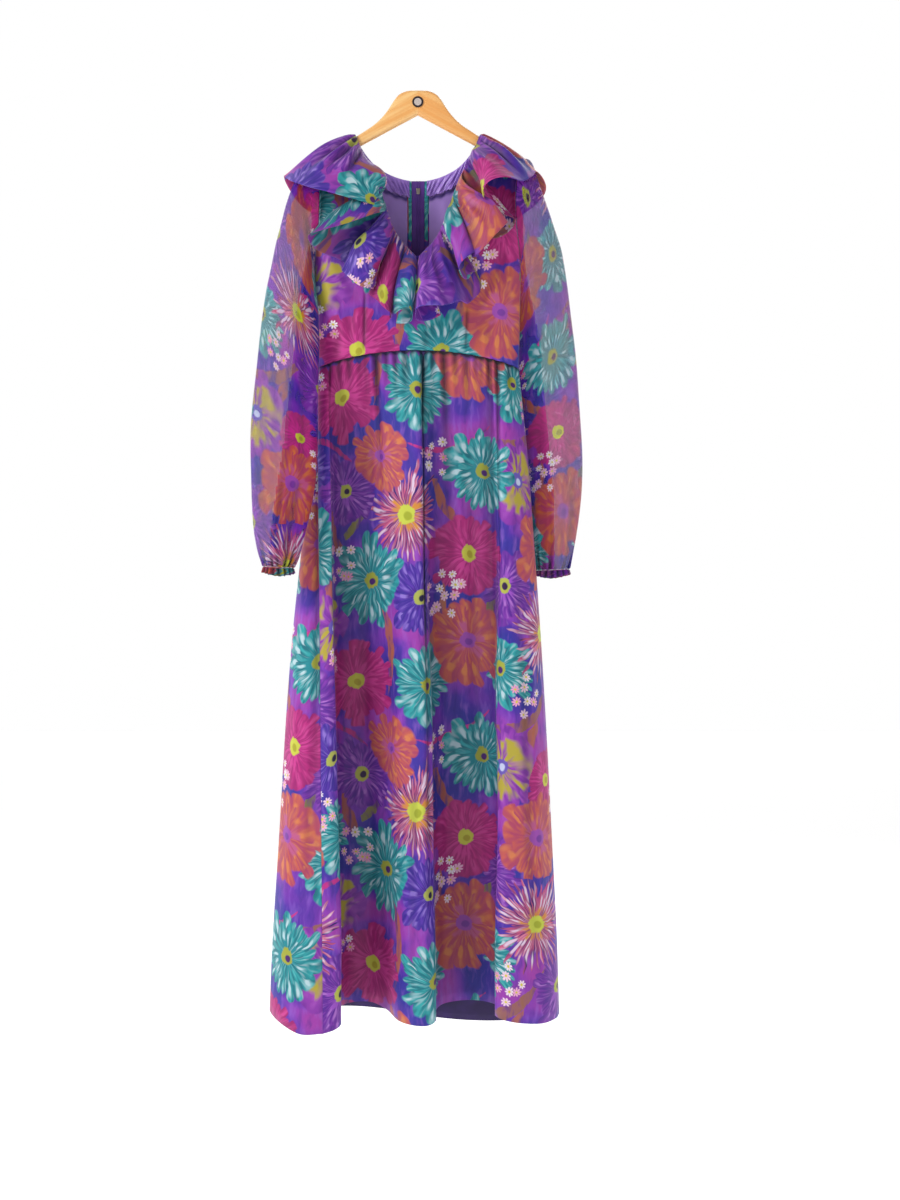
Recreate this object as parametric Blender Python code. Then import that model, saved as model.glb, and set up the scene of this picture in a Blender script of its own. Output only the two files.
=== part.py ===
"""A long-sleeved maxi dress with a ruffled V neck and an empire seam, hung on a wooden hanger.

Metres, +Z up, +Y to the back of the dress. The origin is the middle of the hanger's crown, where its
hook screws in, and the dress hangs below. Lengths in the tables are in millimetres.
"""

import math
from collections import namedtuple

import bpy
import numpy as np
from mathutils import Matrix

MM = 0.001

# Walls, and the gap that stands for a seam between two walls.
PRINT_WALL = 1.6 * MM
SHEER_WALL = 1.2 * MM
LINING_WALL = 1.2 * MM
SEAM_GAP = 0.4 * MM
EDGE_STAND = 0.6 * MM
TINY = 1e-6  # a share so small that it only keeps the sign of the left half

# Hanger.
HOOK_HOLE_RADIUS = 2.0 * MM
HOOK_HOLE_DEPTH = 22.0 * MM
WOOD_THICKNESS = 11.0 * MM
WOOD_ROUNDING = 5.2 * MM
WOOD_SLANT = 1.12
WOOD_BELOW_SEAM = 2.3 * MM
WOOD_STEP = 16
WOOD_TIP = 16.0 * MM
WOOD_TIP_DEGREES = (30, 55, 75, 86)
WOOD_CORNER_STEPS = 4
WOOD_LEAST_FLAT = 0.02
HOLE_SIDES = 12
WOOD_APEX = -40.5 * MM
WOOD_UNDER_SLOPE = 0.536
ARM_REACH = 172.0 * MM
BADGE_RADIUS = 9.0 * MM
BADGE_THICK = 0.9 * MM
BADGE_GAP = 0.3 * MM
BADGE_Z = -20.0 * MM
BADGE_SIDES = 28

# Bodice, measured from the middle of the dress.
NECK_HALF = 102.0 * MM
SHOULDER_TOP = -74.0 * MM
SHOULDER_SLOPE = 0.554
SHOULDER_HALF = 167.0 * MM
SHOULDER_ROUND = 7.8 * MM
ARMHOLE_LOW = -283.0 * MM
ARMHOLE_OPEN = 22.0 * MM
WAIST_HALF = 163.0 * MM
WAIST_FRONT = -430.0 * MM
WAIST_DROP = 16.0 * MM
FRONT_FULLNESS = 27.0 * MM
BACK_FULLNESS = 20.0 * MM
FRONT_EASE = 210.0 * MM
BACK_EASE = 150.0 * MM
NECK_SHARE = 0.6
UNDERARM_SHARE = 0.46
SIDE_BLUNTNESS = 6  # how suddenly the fullness closes to the side seam
ARMHOLE_ROUNDING = 3  # how soon above the underarm the edge is as round as the shoulder

# Zip, sewn inside the back opening; the slider's parts are measured from its middle and its pin.
BACK_SLOT = 2.6 * MM
SLIDER_Z = -157.0 * MM
SLIDER_HALF_HEIGHT = 4.5 * MM
SLIDER_HALF_WIDTH = 1.9 * MM
PLATE_HALF_WIDTH = 3.4 * MM
PLATE_IN = 0.8 * MM
PLATE_OUT = 0.4 * MM
PLATE_STAND = 1.2 * MM
EAR_X = 2.9 * MM
EAR_HALF = 0.5 * MM
EAR_SINK = 0.2 * MM
EAR_LOW = 0.4 * MM
EAR_HIGH = 3.2 * MM
EAR_PAST_PIN = 1.2 * MM
PIN_STAND = 4.0 * MM
PIN_UP = 1.8 * MM
PIN_RADIUS = 0.8 * MM
PIN_HALF = 3.0 * MM
PIN_SIDES = 12
PULL_LENGTH = 22.0 * MM
PULL_ROLL = 1.95 * MM
PULL_HALF_WIDTH = 1.9 * MM
PULL_HALF_THICK = 0.6 * MM
PULL_PLATE_TOP = 0.5 * MM
PULL_CLEARANCE = 0.35 * MM
PULL_BORE_HALF = 4.0 * MM
PULL_SIDES = 16

# Skirt.
HEM = -1500.0 * MM
GATHER_DEPTH = 2.4 * MM
FRONT_GATHERS = 17
BACK_GATHERS = 8
FOLD_STEPS = 3
SIDE_SEAM = 0.6 * MM
WAIST_SEAM = 0.6 * MM

NeckPoint = namedtuple("NeckPoint", "x z")
FRONT_NECK = [
    NeckPoint(0, -283),
    NeckPoint(32, -246),
    NeckPoint(50, -200),
    NeckPoint(68, -150),
    NeckPoint(90, -104),
    NeckPoint(102, -74),
]
BACK_NECK = [
    NeckPoint(2.6, -146),
    NeckPoint(22, -144),
    NeckPoint(45, -137),
    NeckPoint(68, -124),
    NeckPoint(88, -102),
    NeckPoint(102, -74),
]
ARMHOLE = [
    NeckPoint(163, -446),
    NeckPoint(165, -363),
    NeckPoint(166, -283),
    NeckPoint(158, -228),
    NeckPoint(157, -168),
    NeckPoint(167, -110),
]

# One row for each bend of the cloth at the hem, and where that bend starts on the waist seam.
Fold = namedtuple("Fold", "hem_x hem_y hem_up waist_x")
FRONT_FOLDS = [
    Fold(-148, -82, 0, -163),
    Fold(-130, -80, 2, -152),
    Fold(-119, -68, 4, -144),
    Fold(-127, -42, 8, -139),
    Fold(-128, -8, 12, -134),
    Fold(-108, 17, 14, -124),
    Fold(-75, 20, 14, -100),
    Fold(-48, 2, 8, -72),
    Fold(-28, -36, 2, -46),
    Fold(-4, -56, 0, -18),
    Fold(18, -57, 0, 0),
    Fold(31, -42, 3, 10),
    Fold(28, -12, 8, 17),
    Fold(40, 12, 13, 26),
    Fold(72, 21, 16, 52),
    Fold(105, 17, 16, 86),
    Fold(129, -2, 14, 110),
    Fold(131, -26, 12, 120),
    Fold(124, -46, 11, 127),
    Fold(136, -60, 11, 134),
    Fold(163, -60, 11, 145),
    Fold(198, -45, 12, 153),
    Fold(222, -16, 12, 159),
    Fold(229, 8, 12, 163),
]
BACK_RIGHT_FOLDS = [
    Fold(229, 8, 12, 163),
    Fold(222, 36, 8, 158),
    Fold(196, 62, 4, 147),
    Fold(160, 80, 0, 124),
    Fold(120, 66, 4, 98),
    Fold(80, 90, 0, 70),
    Fold(40, 72, 4, 36),
    Fold(0, 88, 0, 0),
]
BACK_LEFT_FOLDS = [
    Fold(0, 88, 0, 0),
    Fold(-40, 72, 4, -35),
    Fold(-85, 90, 0, -66),
    Fold(-125, 68, 4, -94),
    Fold(-165, 84, 0, -118),
    Fold(-205, 64, 4, -137),
    Fold(-231, 28, 4, -149),
    Fold(-239, -18, 4, -156),
    Fold(-218, -58, 2, -160),
    Fold(-184, -80, 0, -162),
    Fold(-148, -82, 0, -163),
]
# How far down the skirt each ring lies, how far it has flared and how deep its folds are, as shares.
Ring = namedtuple("Ring", "down flare depth gather")
SKIRT_RINGS = [
    Ring(0.0, 0.0, 0.0, 0.0),
    Ring(0.025, 0.04, 0.09, 1.0),
    Ring(0.07, 0.12, 0.22, 0.9),
    Ring(0.15, 0.24, 0.36, 0.5),
    Ring(0.27, 0.38, 0.5, 0.2),
    Ring(0.42, 0.55, 0.64, 0.0),
    Ring(0.58, 0.70, 0.77, 0.0),
    Ring(0.74, 0.83, 0.87, 0.0),
    Ring(0.88, 0.94, 0.95, 0.0),
    Ring(1.0, 1.0, 1.0, 0.0),
]
# The lining hangs as a flat tube between the front's recesses and the back.
LiningRow = namedtuple("LiningRow", "z half_width front_y back_y")
LINING_ROWS = [
    LiningRow(-480, 144, -6, 25),
    LiningRow(-538, 138, 8, 35),
    LiningRow(-738, 150, 17, 44),
    LiningRow(-1038, 165, 23, 50),
    LiningRow(-1338, 178, 26, 56),
    LiningRow(-1504, 184, 28, 59),
]

LINING_SIDES = 28
LINING_DROP = 9
LINING_DROP_WAVES = 0.4
LINING_SHIFT = 2
LINING_BLUNT_ACROSS = 0.5
LINING_BLUNT_THROUGH = 0.7
LINING_BLUNT_TOP = 0.33
LINING_SHARE_X = 0.975
LINING_SHARE_Y = 0.94

# Rings of each sleeve, from armhole to wrist: outer and inner edge of the hanging tube.
SleeveRing = namedtuple("SleeveRing", "out_x out_z in_x in_z mid_y half_y")
SLEEVE_LEFT = [
    SleeveRing(-184, -116, -168, -290, -2, 23),
    SleeveRing(-198, -152, -169, -310, -7, 24),
    SleeveRing(-212, -200, -168, -342, -18, 24),
    SleeveRing(-226, -263, -165, -386, -32, 23),
    SleeveRing(-240, -338, -162, -438, -48, 22),
    SleeveRing(-253, -438, -160, -508, -62, 22),
    SleeveRing(-262, -548, -160, -583, -72, 21),
    SleeveRing(-262, -638, -166, -650, -78, 20),
    SleeveRing(-257, -700, -177, -706, -80, 19),
    SleeveRing(-249, -746, -188, -750, -80, 18),
    SleeveRing(-241, -772, -197, -774, -80, 14),
]
SLEEVE_RIGHT = [
    SleeveRing(184, -116, 168, -290, 2, 23),
    SleeveRing(199, -154, 170, -310, 5, 24),
    SleeveRing(216, -203, 173, -342, 9, 24),
    SleeveRing(232, -263, 177, -386, 13, 24),
    SleeveRing(247, -338, 181, -438, 17, 24),
    SleeveRing(260, -438, 187, -508, 20, 24),
    SleeveRing(267, -548, 193, -583, 22, 23),
    SleeveRing(267, -638, 198, -650, 24, 22),
    SleeveRing(262, -700, 202, -706, 24, 20),
    SleeveRing(254, -746, 206, -750, 24, 18),
    SleeveRing(248, -774, 209, -776, 24, 14),
]
SLEEVE_SIDES = 24
SLEEVE_ROUNDNESS = 0.7
ARMHOLE_SEAM = 1.5 * MM
WRIST_HEIGHT = 13 * MM
WRIST_SEAM = 0.7 * MM
WRIST_PUCKERS = 15
PUCKER_STEPS = 4
PUCKER_DEPTH = 1.3 * MM
WRIST_ROWS = [(0.0, 0.0), (0.45, 1.0), (1.0, 1.2)]

# The ruffle's outer edge, from centre back over the shoulder to centre front, for the left side.
Rib = namedtuple("Rib", "along out_x out_y out_z face_x face_y face_z bulge flute waves")
RUFFLE_RIBS = [
    Rib(0.00, -11, 38, -260, 0.00, 1.00, 0.00, 4, 8, 0.5),
    Rib(0.15, -52, 42, -254, -0.10, 0.98, 0.10, 4, 10, 1.9),
    Rib(0.28, -104, 44, -226, -0.25, 0.90, 0.30, 8, 11, 3.2),
    Rib(0.38, -166, 42, -188, -0.40, 0.75, 0.55, 14, 12, 4.2),
    Rib(0.46, -208, 16, -152, -0.35, 0.35, 0.85, 20, 12, 5.0),
    Rib(0.53, -214, -18, -146, -0.35, -0.25, 0.90, 20, 13, 5.6),
    Rib(0.62, -200, -46, -176, -0.35, -0.80, 0.50, 13, 15, 6.5),
    Rib(0.72, -160, -58, -230, -0.25, -0.95, 0.20, 8, 17, 7.5),
    Rib(0.82, -116, -60, -290, -0.12, -0.98, 0.10, 4, 17, 8.6),
    Rib(0.91, -66, -60, -350, -0.05, -1.00, 0.05, 2, 16, 9.55),
    Rib(1.00, -7, -58, -384, 0.00, -1.00, 0.00, 2, 12, 10.5),
]
RUFFLE_FIRST = 2.2 * MM
RUFFLE_CLEAR = 4.0 * MM
RUFFLE_MIDDLE = 3.2 * MM
RUFFLE_SEWN = 3  # the first third of its width turns from the seam's facing to its own
FLUTE_GROWTH = 0.85
FLUTE_LEAN = 0.42
RUN_STEP = 0.01
RUFFLE_STEPS = 72
RUFFLE_ROWS = [0.0, 0.08, 0.3, 0.55, 0.8, 1.0]
MIRROR = np.array([-1.0, 1.0, 1.0])


def clear_scene():
    for thing in list(bpy.data.objects):
        bpy.data.objects.remove(thing, do_unlink=True)


def material(name, colour, roughness=0.8, metallic=0.0, alpha=1.0):
    made = bpy.data.materials.new(name)
    made.use_nodes = True
    shader = made.node_tree.nodes["Principled BSDF"]
    shader.inputs["Base Color"].default_value = (*colour, 1.0)
    shader.inputs["Roughness"].default_value = roughness
    shader.inputs["Metallic"].default_value = metallic
    shader.inputs["Alpha"].default_value = alpha
    return made


def ease(share):
    share = min(1.0, max(0.0, share))
    return share * share * (3 - 2 * share)


def blunt(part, power):
    """A sine or cosine raised to a power under 1, with its sign kept, which makes a ring blunt."""
    return math.copysign(abs(part) ** power, part)


def curve_at(rows, place):
    """A smooth curve through the rows (Catmull-Rom); place runs from 0 to the number of spans."""
    rows = np.array(rows, float)
    last = len(rows) - 1
    span = min(int(place), last - 1)
    f = place - span
    p1, p2 = rows[span], rows[span + 1]
    p0 = rows[span - 1] if span else 2 * p1 - p2
    p3 = rows[span + 2] if span + 2 <= last else 2 * p2 - p1
    return 0.5 * (
        2 * p1
        + (p2 - p0) * f
        + (2 * p0 - 5 * p1 + 4 * p2 - p3) * f * f
        + (3 * p1 - p0 - 3 * p2 + p3) * f * f * f
    )


def mesh_object(name, points, faces, look):
    mesh = bpy.data.meshes.new(name)
    mesh.from_pydata([tuple(p) for p in points], [], faces)
    mesh.update()
    made = bpy.data.objects.new(name, mesh)
    bpy.context.scene.collection.objects.link(made)
    made.data.materials.append(look)
    made.data.shade_smooth()
    return made


def cloth(name, grid, wall, look, tube=False):
    """A cloth wall on a grid of points, rows first; a tube joins each row's end to its start."""
    grid = np.asarray(grid)
    rows, columns = grid.shape[:2]
    faces = []
    for i in range(rows - 1):
        for j in range(columns if tube else columns - 1):
            k = (j + 1) % columns
            faces.append(
                (i * columns + j, i * columns + k, (i + 1) * columns + k, (i + 1) * columns + j)
            )
    made = mesh_object(name, grid.reshape(-1, 3), faces, look)
    solid = made.modifiers.new("wall", "SOLIDIFY")
    solid.thickness = wall
    solid.offset = 0.0
    solid.use_even_offset = False
    solid.use_rim = True
    return made


# ---- Bodice ----


def shoulder_z(x):
    return SHOULDER_TOP - SHOULDER_SLOPE * (abs(x) - NECK_HALF)


def half_outline(u, v, back):
    """Flat place of the half bodice: u from the middle to the side, v from the waist up."""
    neck = BACK_NECK if back else FRONT_NECK
    start = BACK_SLOT if back else 0.0

    def waist(s):
        return np.array([start + (WAIST_HALF - start) * s, WAIST_FRONT - WAIST_DROP * s * s])

    def top(s):
        if s < NECK_SHARE:
            return curve_at(neck, s / NECK_SHARE * (len(neck) - 1)) * MM
        x = NECK_HALF + (SHOULDER_HALF - NECK_HALF) * (s - NECK_SHARE) / (1 - NECK_SHARE)
        return np.array([x, shoulder_z(x)])

    def middle(s):
        return waist(0) + (top(0) - waist(0)) * s

    def side(s):
        if s < UNDERARM_SHARE:
            return curve_at(ARMHOLE, 2 * s / UNDERARM_SHARE) * MM
        return curve_at(ARMHOLE, 2 + 3 * (s - UNDERARM_SHARE) / (1 - UNDERARM_SHARE)) * MM

    corners = (
        (1 - u) * (1 - v) * waist(0) + u * (1 - v) * waist(1) + (1 - u) * v * top(0) + u * v * top(1)
    )
    return (1 - v) * waist(u) + v * top(u) + (1 - u) * middle(v) + u * side(v) - corners


def bodice_point(u, v, back):
    """A point of the bodice's wall; u is negative on the left half."""
    x, flat_z = half_outline(abs(u), v, back)
    down = max(0.0, shoulder_z(x) - flat_z)
    turn = min(down / SHOULDER_ROUND, math.pi / 2)
    fullness = BACK_FULLNESS if back else FRONT_FULLNESS
    fill = fullness * ease(down / (BACK_EASE if back else FRONT_EASE))
    # The wall closes to the side seam but stands open round the armhole.
    edge = math.sqrt(max(0.0, 1 - abs(u) ** SIDE_BLUNTNESS))
    armhole = max(0.0, min(1.0, (flat_z - ARMHOLE_LOW) / (shoulder_z(x) - ARMHOLE_LOW)))
    opening = ARMHOLE_OPEN * math.sin(math.pi * armhole)
    rounding = SHOULDER_ROUND * math.sin(turn) * (edge + (1 - edge) * ease(ARMHOLE_ROUNDING * armhole))
    y = max(EDGE_STAND, rounding + fill * edge + opening * (1 - edge))
    z = shoulder_z(x) - SHOULDER_ROUND * (1 - math.cos(turn)) - max(
        0.0, down - SHOULDER_ROUND * math.pi / 2
    )
    return np.array([math.copysign(x, u) if u else x, y if back else -y, z])


BODICE_ROWS = [0.0, 0.15, 0.35, 0.55, 0.72, 0.85, 0.93, 0.965, 0.985, 1.0]
BODICE_COLUMNS = [0.0, 0.1, 0.2, 0.3, 0.4, 0.5, 0.56, 0.585, 0.6, 0.7, 0.8, 0.88, 0.94, 0.98, 1.0]


def bodice_front(look):
    columns = [-u for u in reversed(BODICE_COLUMNS)] + BODICE_COLUMNS[1:]
    grid = [[bodice_point(u, v, False) for u in columns] for v in BODICE_ROWS]
    return cloth("bodice_front", grid, PRINT_WALL, look)


def back_panel(side):
    """The points of one half of the back, rows from the waist up; its first column is at the zip."""
    columns = [side * max(u, TINY) for u in BODICE_COLUMNS]
    return [[bodice_point(u, v, True) for u in columns] for v in BODICE_ROWS]


def on_panel(panel, row, column, inward):
    """A point on the panel at a share of its rows and columns, moved in towards the front."""
    i = min(int(row), len(panel) - 2)
    j = min(int(column), len(panel[0]) - 2)
    f, g = row - i, column - j
    low = panel[i][j] * (1 - g) + panel[i][j + 1] * g
    high = panel[i + 1][j] * (1 - g) + panel[i + 1][j + 1] * g
    point = low * (1 - f) + high * f
    point[1] -= inward
    return point


def word(side):
    return "left" if side < 0 else "right"


def bodice_back(side, look):
    return cloth("bodice_back_" + word(side), back_panel(side), PRINT_WALL, look)


# Places on the back panel, in its rows from the waist and its columns from the zip.
LINING_LOW = 0.12
TOP_ROW = len(BODICE_ROWS) - 1
TAPE_COLUMN = 0.55
ALLOWANCE_COLUMNS = (0.60, 0.92)
LINING_COLUMNS = (1.0, 2.0, 3.0, 4.0, 5.0)
FACING_COLUMNS = (0.75, 5.0)
FACING_ROWS = (9.0, 8.0, 7.0, 6.0)
LINING_IN = PRINT_WALL / 2 + SEAM_GAP + LINING_WALL / 2
FACING_IN = LINING_IN + LINING_WALL + SEAM_GAP
FACING_WAVE = 1.6 * MM
FACING_WAVES = 4.5
FACING_UNEVEN = 0.8
FACING_STEPS = 13


def inner_rows():
    return [LINING_LOW] + list(range(1, TOP_ROW + 1))


def back_lining(side, look):
    panel = back_panel(side)
    grid = [[on_panel(panel, row, column, LINING_IN) for column in LINING_COLUMNS] for row in inner_rows()]
    return cloth("back_lining_" + word(side), grid, LINING_WALL, look)


def neck_facing(side, look):
    """The satin facing, whose free lower edge stands off in small waves."""
    panel = back_panel(side)
    grid = []
    for row in FACING_ROWS:
        down = (TOP_ROW - row) / (TOP_ROW - FACING_ROWS[-1])
        line = []
        for share in np.linspace(0, 1, FACING_STEPS):
            column = FACING_COLUMNS[0] + (FACING_COLUMNS[1] - FACING_COLUMNS[0]) * share
            ripple = FACING_UNEVEN * math.sin(2 * math.pi * FACING_WAVES * share)
            wave = FACING_WAVE * down**2 * (1 + ripple)
            line.append(on_panel(panel, row, column, FACING_IN + wave))
        grid.append(line)
    return cloth("neck_facing_" + word(side), grid, LINING_WALL, look)


def seam_allowance(side, look):
    panel = back_panel(side)
    grid = [
        [on_panel(panel, row, column, LINING_IN) for column in ALLOWANCE_COLUMNS] for row in inner_rows()
    ]
    return cloth("seam_allowance_" + word(side), grid, LINING_WALL, look)


def zip_tape(look):
    """The tape behind the opening, its middle straight across from half to half."""
    left, right = back_panel(-1), back_panel(1)
    grid = []
    for row in inner_rows():
        ends = [on_panel(half, row, TAPE_COLUMN, LINING_IN) for half in (left, right)]
        grid.append([ends[0], (ends[0] + ends[1]) / 2, ends[1]])
    return cloth("zip_tape", grid, LINING_WALL, look)


def opening_depth(z):
    """How far back the back wall stands beside the zip, at that height."""
    return SHOULDER_ROUND + BACK_FULLNESS * ease((shoulder_z(0.0) - z) / BACK_EASE)


# ---- Skirt ----


def waist_point(x, back):
    u = max(-1.0, min(1.0, x / WAIST_HALF))
    share = max(0.0, (abs(x) - BACK_SLOT) / (WAIST_HALF - BACK_SLOT)) if back else abs(u)
    point = bodice_point(math.copysign(min(share, 1.0), u), 0.0, back)
    point[0] = x
    return point


def skirt_grid(folds, back):
    """A skirt panel's points, rings from the waist down, its two edges just short of their seams."""
    gathers = BACK_GATHERS if back else FRONT_GATHERS
    spans = len(folds) - 1
    places = np.linspace(0, spans, spans * FOLD_STEPS + 1)
    grid = []
    for ring in SKIRT_RINGS:
        row = []
        for place in places:
            hem_x, hem_y, hem_up, waist_x = curve_at(folds, place) * MM
            top = waist_point(min(WAIST_HALF, max(-WAIST_HALF, waist_x)), back)
            top[2] -= WAIST_SEAM
            x = top[0] + (hem_x - top[0]) * ring.flare
            y = top[1] + (hem_y - top[1]) * ring.depth
            z = top[2] + (HEM + hem_up - top[2]) * ring.down
            end_fade = min(1.0, 2 * place, 2 * (spans - place))
            ripple = GATHER_DEPTH * ring.gather * end_fade
            y += ripple * math.sin(2 * math.pi * gathers * place / spans) * (1 if back else -1)
            row.append(np.array([x, y, z]))
        for end, inner in ((0, 1), (-1, -2)):
            inward = row[inner] - row[end]
            row[end] = row[end] + inward / np.linalg.norm(inward) * SIDE_SEAM
        grid.append(row)
    return grid


def lining_ring(row):
    """A flat, blunt ring of the skirt lining at one height."""
    ring = []
    for step in range(LINING_SIDES):
        angle = 2 * math.pi * step / LINING_SIDES
        across = blunt(math.cos(angle), LINING_BLUNT_ACROSS)
        through = blunt(math.sin(angle), LINING_BLUNT_THROUGH)
        middle, half = (row.front_y + row.back_y) / 2, (row.back_y - row.front_y) / 2
        uneven = LINING_DROP * math.sin(2 * math.pi * LINING_DROP_WAVES * across)
        if row is not LINING_ROWS[-1]:
            uneven = 0.0
        place = (row.half_width * across + LINING_SHIFT, middle + half * through, row.z - uneven)
        ring.append(np.array(place) * MM)
    return ring


def lining_top():
    """The lining's top edge, just inside the waist seam."""
    ring = []
    for step in range(LINING_SIDES):
        angle = 2 * math.pi * step / LINING_SIDES
        across = blunt(math.cos(angle), LINING_BLUNT_TOP)
        point = waist_point(across * WAIST_HALF, math.sin(angle) > 0)
        point *= (LINING_SHARE_X, LINING_SHARE_Y, 1.0)
        point[2] -= 3 * SEAM_GAP
        ring.append(point)
    return ring


def skirt_lining(look):
    grid = [lining_top()] + [lining_ring(row) for row in LINING_ROWS]
    return cloth("skirt_lining", grid, LINING_WALL, look, tube=True)


# ---- Sleeves ----


def armhole_ring(side):
    """The bodice's armhole edge as a ring that starts at the shoulder and runs down the front."""
    half = SLEEVE_SIDES // 2
    ring = []
    for step in range(SLEEVE_SIDES):
        front = step <= half
        share = step / half if front else (SLEEVE_SIDES - step) / half
        v = 1 - (1 - UNDERARM_SHARE) * share
        point = bodice_point(side * 1.0, v, not front)
        if step in (0, half):
            point[1] = 0.0
        point[0] += side * ARMHOLE_SEAM
        ring.append(point)
    return ring


def sleeve_ring(row):
    outer = np.array([row.out_x, row.mid_y, row.out_z], float)
    inner = np.array([row.in_x, row.mid_y, row.in_z], float)
    ring = []
    for step in range(SLEEVE_SIDES):
        angle = 2 * math.pi * step / SLEEVE_SIDES
        along = math.cos(angle)
        through = blunt(math.sin(angle), SLEEVE_ROUNDNESS)
        point = (outer + inner) / 2 + (outer - inner) / 2 * along
        point[1] -= row.half_y * through
        ring.append(point * MM)
    return ring


def sleeve(side, rows, look):
    grid = [armhole_ring(side)] + [sleeve_ring(row) for row in rows]
    if side > 0:
        grid = [ring[:1] + ring[:0:-1] for ring in grid]
    return cloth("sleeve_" + word(side), grid, SHEER_WALL, look, tube=True)


def ring_at(ring, share):
    """A point on a closed ring of points; share goes once round from 0 to 1."""
    place = (share % 1.0) * len(ring)
    i = int(place) % len(ring)
    f = place - int(place)
    return ring[i] * (1 - f) + ring[(i + 1) % len(ring)] * f


def wrist_casing(side, rows, look):
    """The elastic casing that gathers the wrist; it starts on the sleeve's own last ring."""
    last = sleeve_ring(rows[-1])
    middle = sum(last) / len(last)
    count = WRIST_PUCKERS * PUCKER_STEPS
    grid = []
    for down, swell in WRIST_ROWS:
        ring = []
        for step in range(count):
            point = ring_at(last, step / count)
            outward = point - middle
            outward[2] = 0.0
            pucker = PUCKER_DEPTH * swell * math.cos(2 * math.pi * WRIST_PUCKERS * step / count)
            point = point + outward / np.linalg.norm(outward) * pucker
            point[2] -= WRIST_SEAM + WRIST_HEIGHT * down
            ring.append(point)
        grid.append(ring)
    return cloth("wrist_casing_" + word(side), grid, SHEER_WALL, look, tube=True)


# ---- Neck ruffle ----

NECK_TURN = 0.47  # share of the ruffle's length that is on the back


def neck_edge(along):
    """The left neck edge: 0 at centre back, 1 at centre front."""
    if along < NECK_TURN:
        u = NECK_SHARE * along / NECK_TURN
        return bodice_point(-max(u, TINY), 1.0, True)
    u = NECK_SHARE * (1 - along) / (1 - NECK_TURN)
    return bodice_point(-max(u, 0.0), 1.0, False)


def ruffle_base(along):
    places = [rib.along for rib in RUFFLE_RIBS]
    place = float(np.interp(along, places, range(len(places))))
    row = Rib(*curve_at(RUFFLE_RIBS, place))
    face = np.array([row.face_x, row.face_y, row.face_z])
    return row, face / np.linalg.norm(face)


def edge_normal(start):
    """Which way the bodice's wall faces at a point of the neck edge."""
    out = min(1.0, abs(start[1]) / SHOULDER_ROUND)
    up = math.sqrt(1 - out * out)
    slant = math.atan(SHOULDER_SLOPE)
    return np.array([-math.sin(slant) * up, math.copysign(out, start[1]), math.cos(slant) * up])


def ruffle_point(along, across):
    row, face = ruffle_base(along)
    start = neck_edge(along)
    start[0] = min(start[0], -RUFFLE_MIDDLE)
    near = 1 - ease(across * RUFFLE_SEWN)
    face = face * (1 - near) + edge_normal(start) * near
    face = face / np.linalg.norm(face)
    end = np.array([row.out_x, row.out_y, row.out_z]) * MM
    ahead, _ = ruffle_base(min(1.0, along + RUN_STEP))
    behind, _ = ruffle_base(max(0.0, along - RUN_STEP))
    run = np.array(
        [ahead.out_x - behind.out_x, ahead.out_y - behind.out_y, ahead.out_z - behind.out_z]
    )
    run = run / np.linalg.norm(run)
    flute = row.flute * MM * across**FLUTE_GROWTH
    phase = 2 * math.pi * row.waves
    clear = RUFFLE_FIRST + (RUFFLE_CLEAR - RUFFLE_FIRST) * ease(across * (RUFFLE_SEWN + 1))
    lift = row.bulge * MM * 4 * across * (1 - across)
    base = start + (end - start) * across
    # Flutes lean over near the outer edge, as soft cloth does.
    lean = FLUTE_LEAN * flute * across * math.sin(2 * phase)
    return base + face * (clear + lift + flute * (1 + math.cos(phase))) + run * lean


def ruffle(side, look):
    grid = []
    for across in RUFFLE_ROWS:
        row = [ruffle_point(step / RUFFLE_STEPS, across) for step in range(RUFFLE_STEPS + 1)]
        grid.append([p * MIRROR for p in row[::-1]] if side > 0 else row)
    return cloth("ruffle_" + word(side), grid, PRINT_WALL * 0.9, look)


# ---- Hanger ----

CrownPoint = namedtuple("CrownPoint", "x z")
CROWN = [
    CrownPoint(0, 0),
    CrownPoint(17, -1),
    CrownPoint(31, -8),
    CrownPoint(40, -21),
    CrownPoint(49, -34.5),
    CrownPoint(60, -46.5),
    CrownPoint(73, -57),
    CrownPoint(88, -66.4),
]


def hanger_top(x):
    """Height of the wood's upper edge, which lies just under the dress's shoulder seams."""
    if x > CROWN[-1].x * MM:
        return shoulder_z(x) - WOOD_BELOW_SEAM
    return float(np.interp(x, [p.x * MM for p in CROWN], [p.z * MM for p in CROWN]))


def wood_ring(x, closing):
    """The arm's upright section at x: a bar with rounded corners; closing shrinks it at the tips."""
    top = hanger_top(abs(x))
    low = WOOD_APEX - WOOD_UNDER_SLOPE * abs(x)
    middle, half_height = (top + low) / 2, (top - low) / 2 * closing
    half = WOOD_THICKNESS / 2 * closing
    rise = min(WOOD_ROUNDING * WOOD_SLANT, half_height * (1 - WOOD_LEAST_FLAT))
    inset = WOOD_ROUNDING * closing
    ring = []
    for corner in range(4):
        for step in range(WOOD_CORNER_STEPS):
            angle = math.pi / 2 * (corner + step / (WOOD_CORNER_STEPS - 1))
            across, up = math.sin(angle), math.cos(angle)
            y = (half - inset) * (1 if corner in (0, 1) else -1) + inset * across
            z = (half_height - rise) * (1 if corner in (0, 3) else -1) + rise * up
            ring.append((x, y, middle + z))
    return ring


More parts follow.
